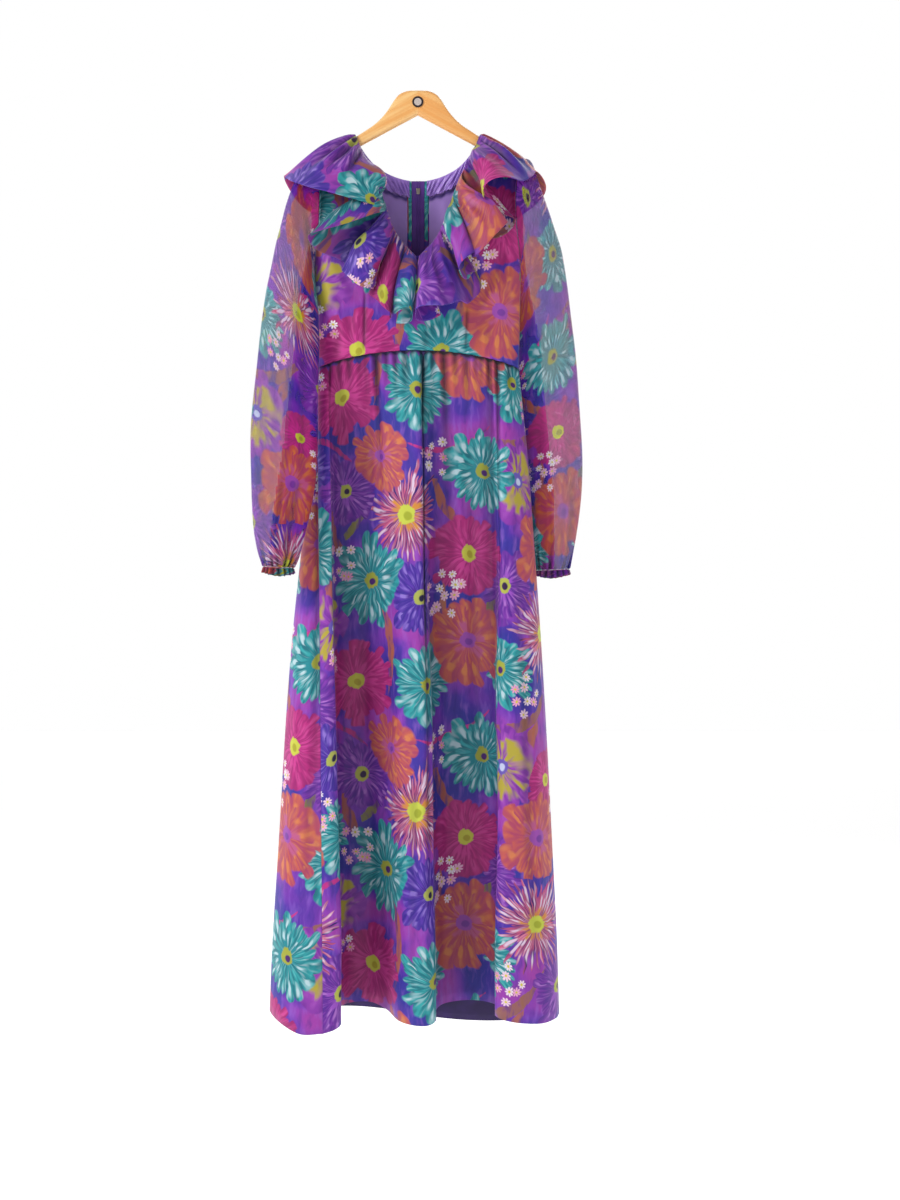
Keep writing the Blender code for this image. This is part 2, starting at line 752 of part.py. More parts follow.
def hanger_wood(look):
    straight = round((ARM_REACH - WOOD_TIP) / MM) + 1
    rings = [wood_ring(x * MM, 1.0) for x in range(0, straight, WOOD_STEP)]
    for degrees in WOOD_TIP_DEGREES:
        tip = math.radians(degrees)
        x = ARM_REACH - WOOD_TIP + WOOD_TIP * math.sin(tip)
        rings.append(wood_ring(x, math.cos(tip)))
    rings = [[(-x, y, z) for x, y, z in ring] for ring in rings[:0:-1]] + rings
    sides = len(rings[0])
    points = [point for ring in rings for point in ring]
    faces = [tuple(range(sides)), tuple(range(len(points) - 1, len(points) - 1 - sides, -1))]
    for i in range(len(rings) - 1):
        for j in range(sides):
            k = (j + 1) % sides
            near, far = i * sides, (i + 1) * sides
            faces.append((near + j, far + j, far + k, near + k))
    wood = mesh_object("hanger_wood", points, faces, look)
    bpy.ops.mesh.primitive_cylinder_add(
        vertices=HOLE_SIDES, radius=HOOK_HOLE_RADIUS, depth=2 * HOOK_HOLE_DEPTH, location=(0, 0, 0)
    )
    hole = bpy.context.object
    hole.name = "hook_hole_cutter"
    hole.hide_render = True
    hole.display_type = "WIRE"
    cut = wood.modifiers.new("hook_hole", "BOOLEAN")
    cut.operation = "DIFFERENCE"
    cut.object = hole
    return wood


def hanger_badge(look):
    y = -WOOD_THICKNESS / 2 - BADGE_GAP - BADGE_THICK / 2
    bpy.ops.mesh.primitive_cylinder_add(
        vertices=BADGE_SIDES,
        radius=BADGE_RADIUS,
        depth=BADGE_THICK,
        location=(0, y, BADGE_Z),
        rotation=(math.pi / 2, 0, 0),
    )
    badge = bpy.context.object
    badge.name = "hanger_badge"
    badge.data.materials.append(look)
    return badge


# ---- Zip slider and pull tab ----


def block(name, low, high, look):
    low, high = np.array(low), np.array(high)
    bpy.ops.mesh.primitive_cube_add(size=1.0, location=tuple((low + high) / 2))
    made = bpy.context.object
    made.name = name
    made.data.transform(Matrix.Diagonal((*(high - low), 1.0)))
    made.data.materials.append(look)
    return made


def join_into(target, other):
    union = target.modifiers.new("join", "BOOLEAN")
    union.operation = "UNION"
    union.object = other
    bpy.context.view_layer.objects.active = target
    bpy.ops.object.modifier_apply(modifier=union.name)
    bpy.data.objects.remove(other, do_unlink=True)


def pin_place():
    """How far back the slider's plate and its pin stand."""
    face = opening_depth(SLIDER_Z) + PRINT_WALL / 2
    return face + PLATE_STAND, face + PIN_STAND


def rod(name, radius, half_length, y, z, look, sides):
    bpy.ops.mesh.primitive_cylinder_add(
        vertices=sides,
        radius=radius,
        depth=2 * half_length,
        location=(0, y, z),
        rotation=(0, math.pi / 2, 0),
    )
    made = bpy.context.object
    made.name = name
    made.data.materials.append(look)
    return made


def zip_slider(look):
    """Body in the back opening, with two ears that carry the pull tab's pin."""
    plate_y, pin_y = pin_place()
    low, high = SLIDER_Z - SLIDER_HALF_HEIGHT, SLIDER_Z + SLIDER_HALF_HEIGHT
    inner = opening_depth(SLIDER_Z) - LINING_IN + LINING_WALL / 2 + SEAM_GAP
    body = block(
        "zip_slider",
        (-SLIDER_HALF_WIDTH, inner, low),
        (SLIDER_HALF_WIDTH, plate_y, high),
        look,
    )
    plate = block(
        "plate",
        (-PLATE_HALF_WIDTH, plate_y - PLATE_IN, low),
        (PLATE_HALF_WIDTH, plate_y + PLATE_OUT, high),
        look,
    )
    join_into(body, plate)
    for side in (-1, 1):
        ear = block(
            "ear",
            (side * EAR_X - EAR_HALF, plate_y - EAR_SINK, SLIDER_Z + EAR_LOW),
            (side * EAR_X + EAR_HALF, pin_y + EAR_PAST_PIN, SLIDER_Z + EAR_HIGH),
            look,
        )
        join_into(body, ear)
    pin = rod("pin", PIN_RADIUS, PIN_HALF, pin_y, SLIDER_Z + PIN_UP, look, PIN_SIDES)
    join_into(body, pin)
    return body


def zip_pull(look):
    """The tab that hangs from the slider's pin; it turns about the pin."""
    _, pin_y = pin_place()
    pin_z = SLIDER_Z + PIN_UP
    tab = rod("zip_pull", PULL_ROLL, PULL_HALF_WIDTH, pin_y, pin_z, look, PULL_SIDES)
    plate = block(
        "tab",
        (-PULL_HALF_WIDTH, pin_y - PULL_HALF_THICK, pin_z - PULL_LENGTH),
        (PULL_HALF_WIDTH, pin_y + PULL_HALF_THICK, pin_z - PULL_PLATE_TOP),
        look,
    )
    join_into(tab, plate)
    bore = rod(
        "pull_bore", PIN_RADIUS + PULL_CLEARANCE, PULL_BORE_HALF, pin_y, pin_z, look, PULL_SIDES
    )
    bore.hide_render = True
    bore.display_type = "WIRE"
    cut = tab.modifiers.new("bore", "BOOLEAN")
    cut.operation = "DIFFERENCE"
    cut.object = bore
    return tab


def build():
    clear_scene()
    print_cloth = material("print_chiffon", (0.33, 0.13, 0.55))
    sheer_cloth = material("sheer_chiffon", (0.52, 0.27, 0.62), alpha=0.6)
    lining_cloth = material("lining", (0.40, 0.25, 0.62), roughness=0.6)
    satin = material("satin_facing", (0.47, 0.28, 0.70), roughness=0.35)
    dark_lining = material("hem_lining", (0.13, 0.05, 0.25), roughness=0.6)
    tape = material("zip_tape", (0.13, 0.03, 0.27), roughness=0.7)
    metal = material("zip_metal", (0.62, 0.58, 0.55), roughness=0.3, metallic=1.0)
    wood = material("beech", (0.86, 0.56, 0.25), roughness=0.4)
    badge = material("badge", (0.06, 0.05, 0.07), roughness=0.4)

    bodice_front(print_cloth)
    for name, folds, back in (
        ("skirt_front", FRONT_FOLDS, False),
        ("skirt_back_right", BACK_RIGHT_FOLDS, True),
        ("skirt_back_left", BACK_LEFT_FOLDS, True),
    ):
        cloth(name, skirt_grid(folds, back)[::-1], PRINT_WALL, print_cloth)
    skirt_lining(dark_lining)
    for side, rows in ((-1, SLEEVE_LEFT), (1, SLEEVE_RIGHT)):
        bodice_back(side, print_cloth)
        back_lining(side, lining_cloth)
        neck_facing(side, satin)
        sleeve(side, rows, sheer_cloth)
        wrist_casing(side, rows, sheer_cloth)
        ruffle(side, print_cloth)
        seam_allowance(side, print_cloth)
    zip_tape(tape)
    zip_slider(metal)
    zip_pull(metal)
    hanger_wood(wood)
    hanger_badge(badge)


build()
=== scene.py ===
import math

import bpy
import numpy as np
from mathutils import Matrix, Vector


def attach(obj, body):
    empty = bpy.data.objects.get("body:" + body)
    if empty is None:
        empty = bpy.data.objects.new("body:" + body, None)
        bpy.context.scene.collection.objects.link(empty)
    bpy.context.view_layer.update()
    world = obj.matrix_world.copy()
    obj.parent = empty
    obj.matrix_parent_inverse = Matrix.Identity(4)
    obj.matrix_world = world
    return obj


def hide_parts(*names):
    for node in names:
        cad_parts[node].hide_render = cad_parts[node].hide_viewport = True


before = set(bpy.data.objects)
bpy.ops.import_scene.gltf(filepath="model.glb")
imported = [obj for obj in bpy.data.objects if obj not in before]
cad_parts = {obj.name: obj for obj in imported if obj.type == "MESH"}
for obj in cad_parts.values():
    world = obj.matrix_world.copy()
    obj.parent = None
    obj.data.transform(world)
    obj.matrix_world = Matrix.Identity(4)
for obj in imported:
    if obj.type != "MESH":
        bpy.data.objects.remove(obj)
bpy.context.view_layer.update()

mm = 0.001
tiny = 1e-6
seamMerge = {"cloth": 0.00002, "wood": 0.00001}


# Small tools that every piece uses.


def ease(share):
    share = np.clip(share, 0.0, 1.0)
    return share * share * (3 - 2 * share)


def smoothRows(rows, places):
    # a smooth curve through the rows; places run from 0 to the number of spans
    rows = np.asarray(rows, float)
    places = np.asarray(places, float)
    span = np.minimum(places.astype(int), len(rows) - 2)
    f = (places - span).reshape((-1,) + (1,) * (rows.ndim - 1))
    padded = np.concatenate([[2 * rows[0] - rows[1]], rows, [2 * rows[-1] - rows[-2]]])
    p0, p1, p2, p3 = padded[span], padded[span + 1], padded[span + 2], padded[span + 3]
    return 0.5 * (
        2 * p1 + (p2 - p0) * f + (2 * p0 - 5 * p1 + 4 * p2 - p3) * f**2 + (3 * p1 - p0 - 3 * p2 + p3) * f**3
    )


def blunt(part, power):
    return np.sign(part) * np.abs(part) ** power


def bell(share):
    # 1 at 0, falling away on both sides
    return np.exp(-(share**2))


def hump(share):
    # half a wave: 0 at both ends, 1 in the middle
    return np.sin(math.pi * share)


def sheetNormals(points):
    # which way a grid of points faces, for rows that run up and columns that run to the right
    across = np.gradient(points, axis=1)
    up = np.gradient(points, axis=0)
    normals = np.cross(across, up)
    return normals / np.maximum(np.linalg.norm(normals, axis=2, keepdims=True), 1e-9)


def arcAlong(points, axis):
    # length of cloth from the first point along rows (axis 1) or columns (axis 0)
    steps = np.linalg.norm(np.diff(points, axis=axis), axis=2)
    start = np.zeros_like(np.take(steps, [0], axis=axis))
    return np.concatenate([start, np.cumsum(steps, axis=axis)], axis=axis)


# where a crease fades in and out, as shares of its own length
creaseFade = {"start": 0.12, "startRun": 0.24, "end": 0.15, "endRun": 0.4}


def creaseField(x, z, creases):
    # soft ridges and troughs, each along a line from (x0, z0) to (x1, z1), in millimetres
    total = np.zeros_like(x)
    for x0, z0, x1, z1, width, height in creases:
        ax, az = (x1 - x0) * mm, (z1 - z0) * mm
        length = math.hypot(ax, az)
        t = ((x - x0 * mm) * ax + (z - z0 * mm) * az) / length**2
        off = ((x - x0 * mm) * az - (z - z0 * mm) * ax) / length
        fade = ease((t + creaseFade["start"]) / creaseFade["startRun"])
        fade *= ease((1 + creaseFade["end"] - t) / creaseFade["endRun"])
        total += height * mm * bell(off / (width * mm)) * fade
    return total


def softNoise(u, v, seed, waves=7):
    # a sum of a few long waves, the same each run
    rng = np.random.default_rng(seed)
    total = np.zeros_like(u)
    for _ in range(waves):
        ku, kv = rng.uniform(-1, 1, 2)
        total += np.sin(2 * math.pi * (u * ku + v * kv) + rng.uniform(0, 2 * math.pi))
    return total / math.sqrt(waves)


shadeReach = 60.0
shadeSteps = (1, 2, 3, 4, 6, 8, 11, 15, 20, 27, 36, 48)


def foldShade(points):
    # painted shade: how deep in a fold each point lies, 0 to 1, from the cloth that rises beside it along its
    # row; materials darken the colour by it
    normals = sheetNormals(points)
    columns = np.arange(points.shape[1])
    shade = np.zeros(points.shape[:2])
    for way in (-1, 1):
        horizon = np.zeros_like(shade)
        for steps in shadeSteps:
            away = points[:, np.clip(columns + way * steps, 0, len(columns) - 1)] - points
            gap = np.maximum(np.linalg.norm(away, axis=2), 1e-6)
            rise = np.sum(away * normals, axis=2) / gap * np.exp(-gap / (shadeReach * mm))
            horizon = np.maximum(horizon, rise)
        shade += horizon / 2
    return np.clip(shade, 0.0, 1.0)


def deselectAll():
    bpy.ops.object.select_all(action="DESELECT")


def newGrid(name, points):
    # a grid mesh with its vertices on the points
    rows, columns = points.shape[:2]
    deselectAll()
    bpy.ops.mesh.primitive_grid_add(x_subdivisions=columns - 1, y_subdivisions=rows - 1, size=1.0)
    grid = bpy.context.object
    grid.name = grid.data.name = name
    grid.data.vertices.foreach_set("co", points.reshape(-1))
    return grid


def mergeSeam(threshold):
    bpy.ops.object.mode_set(mode="EDIT")
    bpy.ops.mesh.select_all(action="SELECT")
    bpy.ops.mesh.remove_doubles(threshold=threshold)


def applyModifier(target, label, kind, **settings):
    modifier = target.modifiers.new(label, kind)
    for key, value in settings.items():
        setattr(modifier, key, value)
    bpy.context.view_layer.objects.active = target
    bpy.ops.object.modifier_apply(modifier=modifier.name)


def paint(target, look):
    target.data.materials.clear()
    target.data.materials.append(look)


def newSheet(name, points, uvs, look, wall, tube=False, shade=None):
    # a cloth sheet on a grid of points, given its wall and its own flat-cloth coordinates
    sheet = newGrid(name, points)
    corners = np.empty(len(sheet.data.loops), int)
    sheet.data.loops.foreach_get("vertex_index", corners)
    layer = sheet.data.uv_layers[0]
    layer.name = "clothUV"
    layer.data.foreach_set("uv", uvs.reshape(-1, 2)[corners].reshape(-1))
    # painted fold shade, kept on the sheet for its material to darken the colour with
    shade = foldShade(points) if shade is None else shade
    sheet.data.attributes.new("foldShade", "FLOAT", "POINT").data.foreach_set("value", shade.reshape(-1))
    sheet.data.update()
    if tube:
        mergeSeam(seamMerge["cloth"])
        bpy.ops.object.mode_set(mode="OBJECT")
    applyModifier(sheet, "wall", "SOLIDIFY", thickness=wall * mm, offset=0.0, use_rim=True)
    paint(sheet, look)
    bpy.ops.object.shade_smooth()
    return sheet


def finishSheet(sheet, nodes):
    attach(sheet, "garment")
    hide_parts(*nodes)


# Materials. Cloth reads its own flat coordinates, in metres; hard pieces read Object coordinates.


def tint(code, alpha=1.0):
    # a hex colour as the linear numbers that a socket takes
    parts = [int(code[i : i + 2], 16) / 255 for i in (0, 2, 4)]
    return tuple(c / 12.92 if c <= 0.04045 else ((c + 0.055) / 1.055) ** 2.4 for c in parts) + (alpha,)


class NodeDesk:
    # adds nodes to one tree and joins them, so that a formula reads on one line
    def __init__(self, tree):
        self.tree = tree

    def add(self, kind, **settings):
        node = self.tree.nodes.new(kind)
        for key, value in settings.items():
            setattr(node, key, value)
        return node

    def put(self, value, socket):
        if isinstance(value, bpy.types.NodeSocket):
            self.tree.links.new(value, socket)
        elif value is not None:
            socket.default_value = value

    def fill(self, node, values):
        # a value or a joined socket for each named input
        for label, value in values.items():
            self.put(value, node.inputs[label])
        return node.outputs[0]

    def inOrder(self, node, *values):
        for value, socket in zip(values, node.inputs):
            self.put(value, socket)
        return node.outputs[0]

    def math(self, operation, a, b=None, c=None, clamp=False):
        # clamped by nodes of its own: the tick box makes long trees run out of shader stack
        result = self.inOrder(self.add("ShaderNodeMath", operation=operation), a, b, c)
        return self.least(self.most(result, 0.0), 1.0) if clamp else result

    def times(self, a, b, clamp=False):
        return self.math("MULTIPLY", a, b, clamp=clamp)

    def minus(self, a, b):
        return self.math("SUBTRACT", a, b)

    def line(self, value, slope, start, clamp=False):
        return self.math("MULTIPLY_ADD", value, slope, start, clamp=clamp)

    def most(self, a, b):
        return self.math("MAXIMUM", a, b)

    def least(self, a, b):
        return self.math("MINIMUM", a, b)

    def absolute(self, value):
        return self.math("ABSOLUTE", value)

    def step(self, value, low, slope):
        # 0 below low, rising to 1 with that slope
        return self.line(value, slope, -low * slope, clamp=True)

    def ramp(self, value, low, slope):
        # 0 below low, then rising without end
        return self.most(self.line(value, slope, -low * slope), 0.0)

    def vector(self, operation, a, b=None, c=None, scale=None):
        node = self.add("ShaderNodeVectorMath", operation=operation)
        self.inOrder(node, a, b, c)
        if scale is not None:
            self.put(scale, node.inputs["Scale"])
        single = operation in ("LENGTH", "DISTANCE", "DOT_PRODUCT")
        return node.outputs["Value" if single else "Vector"]

    def blend(self, factor, a, b, places, **settings):
        # places: the mix node's factor, its two inputs and its output
        node = self.add("ShaderNodeMix", **settings)
        for value, place in zip((factor, a, b), places):
            self.put(value, node.inputs[place])
        return node.outputs[places[3]]

    def mix(self, factor, a, b, blend="MIX"):
        return self.blend(factor, a, b, (0, 6, 7, 2), data_type="RGBA", blend_type=blend)

    def mixVector(self, factor, a, b):
        return self.blend(factor, a, b, (0, 4, 5, 1), data_type="VECTOR", clamp_factor=False)

    def noise(self, vector, scale, detail=1.0, roughness=0.5, kind="3D"):
        node = self.add("ShaderNodeTexNoise", noise_dimensions=kind)
        self.fill(node, {"Vector": vector, "Scale": scale, "Detail": detail, "Roughness": roughness})
        return node.outputs["Fac"], node.outputs["Color"]

    def split(self, vector):
        node = self.add("ShaderNodeSeparateXYZ")
        self.put(vector, node.inputs[0])
        return node.outputs

    def join(self, x, y, z=0.0):
        return self.inOrder(self.add("ShaderNodeCombineXYZ"), x, y, z)


def newGroup(name, inputs, outputs):
    tree = bpy.data.node_groups.new(name, "ShaderNodeTree")
    for way, sockets in (("INPUT", inputs), ("OUTPUT", outputs)):
        for label, kind in sockets:
            tree.interface.new_socket(label, in_out=way, socket_type="NodeSocket" + kind)
    desk = NodeDesk(tree)
    start = desk.add("NodeGroupInput").outputs
    end = desk.add("NodeGroupOutput").inputs
    return desk, start, end, tree


# The print: one repeat of painted garden flowers, charted.
printRepeat = {"width": 0.62, "height": 0.47}
# the ground's brushwork: how far and how finely it wavers, its washes, its strokes
brushwork = {"waver": 0.007, "waverScale": 40.0, "washScale": 10.0, "strokes": (95.0, 26.0, 1.0)}
edgeSharpness = {"petal": 24.0, "stroke": 14.0, "core": 40.0}
mostPetals = 64.0

flowerKinds = {
    # deep between the petals, outer and pale on them, inner strokes, core, eye; then the petals' number
    # and shape, how far the inner strokes reach, and how streaky they are
    "teal": dict(deep="12707E", outer="36B0B4", pale="C8E0E8", inner="208C98", core="A8AC3C", eye="4A1A6E",
                 petals=19, slim=1.3, root=0.5, reach=0.3, streak=0.85),
    "magenta": dict(deep="A01C70", outer="C42A84", pale="DE54A4", inner="D03C94", core="CED048", eye="B0A830",
                    petals=24, slim=1.5, root=0.86, reach=0.36, streak=0.5),
    "orange": dict(deep="B04468", outer="CC6050", pale="E4924C", inner="C05A8C", core="A04CB0", eye="7C3AA0",
                   petals=15, slim=1.35, root=0.76, reach=0.34, streak=0.6),
    "purple": dict(deep="5A2396", outer="8434AE", pale="B878D4", inner="9C50C4", core="B8BC50", eye="301048",
                   petals=22, slim=1.35, root=0.7, reach=0.3, streak=0.8),
    "olive": dict(deep="7A2CA0", outer="A040B8", pale="BC60CC", inner="B8A83C", core="6A58B8", eye="C8D0F0",
                  petals=13, slim=1.3, root=0.74, reach=0.66, streak=0.4),
    "spiky": dict(deep="2A1A70", outer="D85C84", pale="E4CCE4", inner="D8903C", core="CCD44C", eye="A8B030",
                  petals=34, slim=0.66, root=0.12, reach=0.3, streak=1.0),
    "anemone": dict(deep="3A2494", outer="6236B4", pale="9C80DC", inner="4A2294", core="B0B458", eye="1A1240",
                    petals=18, slim=1.3, root=0.66, reach=0.3, streak=0.75),
}
flowerChart = [
    # kind, across, up, radius; later rows lie on earlier ones
    ("purple", 0.180, 0.052, 0.076),
    ("orange", 0.560, 0.128, 0.080),
    ("anemone", 0.452, 0.205, 0.070),
    ("olive", 0.246, 0.168, 0.073),
    ("magenta", 0.318, 0.066, 0.078),
    ("purple", 0.024, 0.232, 0.072),
    ("teal", 0.460, 0.064, 0.079),
    ("spiky", 0.118, 0.160, 0.088),
    ("orange", 0.112, 0.300, 0.082),
    ("teal", 0.356, 0.232, 0.082),
    ("magenta", 0.560, 0.272, 0.078),
    ("purple", 0.318, 0.382, 0.072),
    ("teal", 0.222, 0.300, 0.076),
    ("olive", 0.040, 0.408, 0.078),
    ("spiky", 0.432, 0.336, 0.092),
    ("teal", 0.586, 0.410, 0.077),
    ("anemone", 0.212, 0.430, 0.068),
    ("magenta", 0.130, 0.392, 0.058),
    ("teal", 0.026, 0.096, 0.068),
    ("orange", 0.386, 0.432, 0.062),
]
leafChart = [
    # across, up, length, width, turn, curve, colour
    (0.250, 0.236, 0.195, 0.0124, 1.2, 4.0, "B86450"),
    (0.290, 0.310, 0.182, 0.0112, 1.9, -5.0, "A85848"),
    (0.500, 0.140, 0.195, 0.0112, 1.0, 5.0, "B86C50"),
    (0.520, 0.345, 0.195, 0.0105, 2.2, -4.0, "B06048"),
    (0.070, 0.010, 0.208, 0.0112, 0.5, 4.0, "9C6450"),
    (0.390, 0.140, 0.195, 0.0105, 1.7, 3.0, "B4644C"),
    (0.170, 0.230, 0.195, 0.0056, 0.3, -4.0, "C82C84"),
    (0.520, 0.440, 0.208, 0.0056, 0.2, 4.0, "CC3088"),
    (0.270, 0.000, 0.195, 0.0062, 2.8, 4.0, "C02C80"),
    (0.600, 0.190, 0.182, 0.0093, 1.4, -6.0, "807838"),
    (0.330, 0.320, 0.169, 0.0081, 0.8, 5.0, "8A843C"),
    (0.090, 0.460, 0.195, 0.0112, 1.3, 4.0, "B06450"),
]
daisySizes = {"apart": 0.021, "radius": 0.0105}
daisyClusters = [
    # across, up, radius of the cluster
    (0.300, 0.268, 0.034), (0.520, 0.200, 0.040), (0.078, 0.056, 0.034),
    (0.500, 0.430, 0.032), (0.262, 0.110, 0.030), (0.176, 0.356, 0.030),
]


def nearestCopy(desk, place, centre):
    # from a flower's centre to the place, across the nearest repeat
    away = desk.vector("SUBTRACT", place, centre)
    half = (printRepeat["width"] / 2, printRepeat["height"] / 2, 1.0)
    return desk.vector("WRAP", away, half, tuple(-h for h in half))


def chooseNearest(desk, place, centres, scales, tables):
    # keeps, of all the motifs of one layer, the one that the place lies in, with its numbers
    best = None
    for number, (centre, scale) in enumerate(zip(centres, scales)):
        away = nearestCopy(desk, place, (centre[0], centre[1], 0.0))
        gap = desk.times(desk.vector("LENGTH", away), scale)
        values = [table[number] for table in tables]
        if best is None:
            best, chosen = gap, [away] + values
            continue
        closer = desk.math("LESS_THAN", gap, best)
        best = desk.least(gap, best)
        chosen = [desk.mixVector(closer, old, new) for old, new in zip(chosen, [away] + values)]
    return chosen


def kindRamp(desk, kind, rows, pick):
    # one colour or three numbers for each kind, looked up by the kind's place
    ramp = desk.add("ShaderNodeValToRGB")
    bands = ramp.color_ramp
    bands.interpolation = "CONSTANT"
    while len(bands.elements) < len(rows):
        bands.elements.new(0.5)
    for number in range(len(rows)):
        bands.elements[number].position = number / len(rows)
    for number, row in enumerate(rows):
        bands.elements[number].color = pick(row)
    return desk.inOrder(ramp, kind)


def flowerGroup():
    inputs = [("Away", "Vector"), ("Kind", "Float"), ("Seed", "Float"), ("Scale", "Float")]
    inputs.append(("Below", "Color"))
    desk, start, end, tree = newGroup("paintedFlower", inputs, [("Colour", "Color")])
    rows = list(flowerKinds.values())
    kind = start["Kind"]
    away = desk.vector("SCALE", start["Away"], scale=start["Scale"])

    def lookUp(pick):
        return kindRamp(desk, kind, rows, pick)

    shape = desk.split(lookUp(lambda r: (r["petals"] / mostPetals, r["slim"] / 2, r["root"], 1.0)))
    habit = desk.split(lookUp(lambda r: (r["reach"], r["streak"], 0.0, 1.0)))
    petals = desk.math("ROUND", desk.times(shape[0], mostPetals))
    slim = desk.times(shape[1], 2.0)
    root = shape[2]
    paints = {
        label: lookUp(lambda r: tint(r[label]))
        for label in ("deep", "outer", "pale", "inner", "core", "eye")
    }
    reach = desk.vector("LENGTH", away)
    across = desk.vector("DOT_PRODUCT", away, (1.0, 0.0, 0.0))
    up = desk.vector("DOT_PRODUCT", away, (0.0, 1.0, 0.0))
    angle = desk.math("DIVIDE", desk.math("ARCTAN2", up, across), 2 * math.pi)
    turns = desk.times(angle, petals)
    seeded = desk.times(start["Seed"], 7.31)
    # petals are wider on one side of a flower than on the other, and lean a little
    lean = desk.math("SINE", desk.line(angle, 4 * math.pi, seeded))
    lean = desk.times(lean, desk.line(reach, 0.5, 0.25))
    turns = desk.math("ADD", turns, lean)
    streaks = desk.noise(desk.join(desk.times(turns, 4.2), desk.times(reach, 3.2), seeded), 1.0, 0.0)[0]
    brush = desk.noise(desk.join(desk.times(turns, 1.3), desk.times(reach, 2.2), seeded), 1.0, 1.0)[0]
    reach = desk.times(reach, desk.line(brush, 0.14, 0.93))
    turns = desk.math("ADD", turns, desk.line(brush, 0.44, -0.22))
    paint = desk.step(brush, 0.34, 3.2)
    backOff = desk.absolute(desk.line(desk.math("FRACT", turns), 2.0, -1.0))
    frontOff = desk.minus(1.0, backOff)

    def petalRandom(offset):
        index = desk.math("FLOOR", desk.math("ADD", turns, offset))
        index = desk.math("FLOORED_MODULO", index, petals)
        wave = desk.math("SINE", desk.line(index, 12.9898, desk.math("ADD", seeded, offset)))
        return desk.math("FRACT", desk.times(wave, 4375.85))

    backPick, frontPick = petalRandom(0.0), petalRandom(0.5)
    rest = desk.minus(1.0, root)

    def petalMask(off, length):
        side = desk.least(desk.math("DIVIDE", off, slim), 1.0)
        rounded = desk.math("SQRT", desk.minus(1.0, desk.times(side, side)))
        tip = desk.line(rest, rounded, root)
        limit = desk.times(tip, length)
        return desk.line(desk.minus(limit, reach), edgeSharpness["petal"], 0.5)

    backMask = petalMask(backOff, desk.line(backPick, 0.32, 0.68))
    frontMask = petalMask(frontOff, desk.line(frontPick, 0.3, 0.48))

    def petalColour(off, pickOne, low, high, base):
        # dark at the petal's sides, with a pale brush mark along the middle of most
        shade = desk.times(desk.minus(1.0, desk.times(off, off)), base)
        narrow = desk.ramp(off, 0.5, -5.0)
        half = (high - low) / 2
        centre = desk.line(pickOne, -0.22, (high + low) / 2 + 0.1)
        middle = desk.absolute(desk.minus(reach, centre))
        inside = desk.ramp(middle, half, -8.0)
        some = desk.ramp(pickOne, 0.3, 3.0)
        mark = desk.times(narrow, desk.times(inside, desk.times(some, paint)))
        mark = desk.times(desk.least(mark, 1.0), habit[1])
        mark = desk.most(mark, streaked)
        return desk.mix(mark, desk.mix(shade, paints["deep"], paints["outer"]), paints["pale"])

    # fine streaks: pale on some, and between them the deep shade
    streaked = desk.times(desk.step(streaks, 0.56, 5.0), 0.42)
    body = desk.times(desk.line(paint, 0.5, 0.5), desk.step(streaks, 0.25, 4.5))
    back = petalColour(backOff, backPick, 0.5, 0.86, body)
    front = petalColour(frontOff, frontPick, 0.26, 0.6, body)
    colour = desk.mix(frontMask, back, front)
    strokeEnd = desk.times(habit[0], desk.line(frontPick, 0.5, 0.75))
    stroke = desk.line(desk.minus(strokeEnd, reach), edgeSharpness["stroke"], 0.5, clamp=True)
    colour = desk.mix(desk.times(stroke, desk.step(brush, 0.42, 6.0)), colour, paints["inner"])
    coreEdge = desk.line(frontPick, 0.03, 0.15)
    core = desk.line(desk.minus(coreEdge, reach), edgeSharpness["core"], 0.5)
    colour = desk.mix(core, colour, paints["core"])
    eyePlace = desk.vector("DISTANCE", away, (0.03, -0.02, 0.0))
    eye = desk.line(desk.minus(0.075, eyePlace), edgeSharpness["core"], 0.5)
    colour = desk.mix(eye, colour, paints["eye"])
    desk.put(desk.mix(desk.most(backMask, frontMask), start["Below"], colour), end["Colour"])
    return tree


def daisyGroup():
    # small white and pink daisies, in clusters
    desk, start, end, tree = newGroup(
        "smallDaisies", [("Place", "Vector"), ("Below", "Color")], [("Colour", "Color")]
    )
    size = (printRepeat["width"], printRepeat["height"], 1.0)
    inRepeat = desk.vector("WRAP", start["Place"], size, (0.0, 0.0, 0.0))
    cells = desk.add("ShaderNodeTexVoronoi", voronoi_dimensions="2D", feature="F1")
    desk.fill(cells, {"Vector": inRepeat, "Scale": 1 / daisySizes["apart"], "Randomness": 0.75})
    cellPlace = cells.outputs["Position"]
    near = None
    for across, up, radius in daisyClusters:
        gap = desk.vector("LENGTH", nearestCopy(desk, cellPlace, (across, up, 0.0)))
        close = desk.minus(radius, gap)
        near = close if near is None else desk.most(near, close)
    away = desk.vector("SUBTRACT", inRepeat, cellPlace)
    reach = desk.times(desk.vector("LENGTH", away), 1 / daisySizes["radius"])
    parts = desk.split(away)
    angle = desk.math("ARCTAN2", parts[1], parts[0])
    tone = desk.split(cells.outputs["Color"])
    lobes = desk.absolute(desk.math("COSINE", desk.line(angle, 4.0, desk.times(tone[0], 6.0))))
    limit = desk.line(desk.math("POWER", lobes, 0.6), 0.5, desk.line(tone[1], 0.25, 0.2))
    petal = desk.times(desk.minus(limit, reach), 7.0)
    petal = desk.times(petal, desk.times(near, 900.0, clamp=True))
    colour = desk.mix(tone[2], tint("F6EEF6"), tint("F09AC8"))
    colour = desk.mix(desk.step(lobes, 0.35, -2.5), colour, tint("C05AA0"))
    centre = desk.times(desk.minus(0.24, reach), 10.0)
    colour = desk.mix(centre, colour, tint("D8CC40"))
    desk.put(desk.mix(petal, start["Below"], colour), end["Colour"])
    return tree


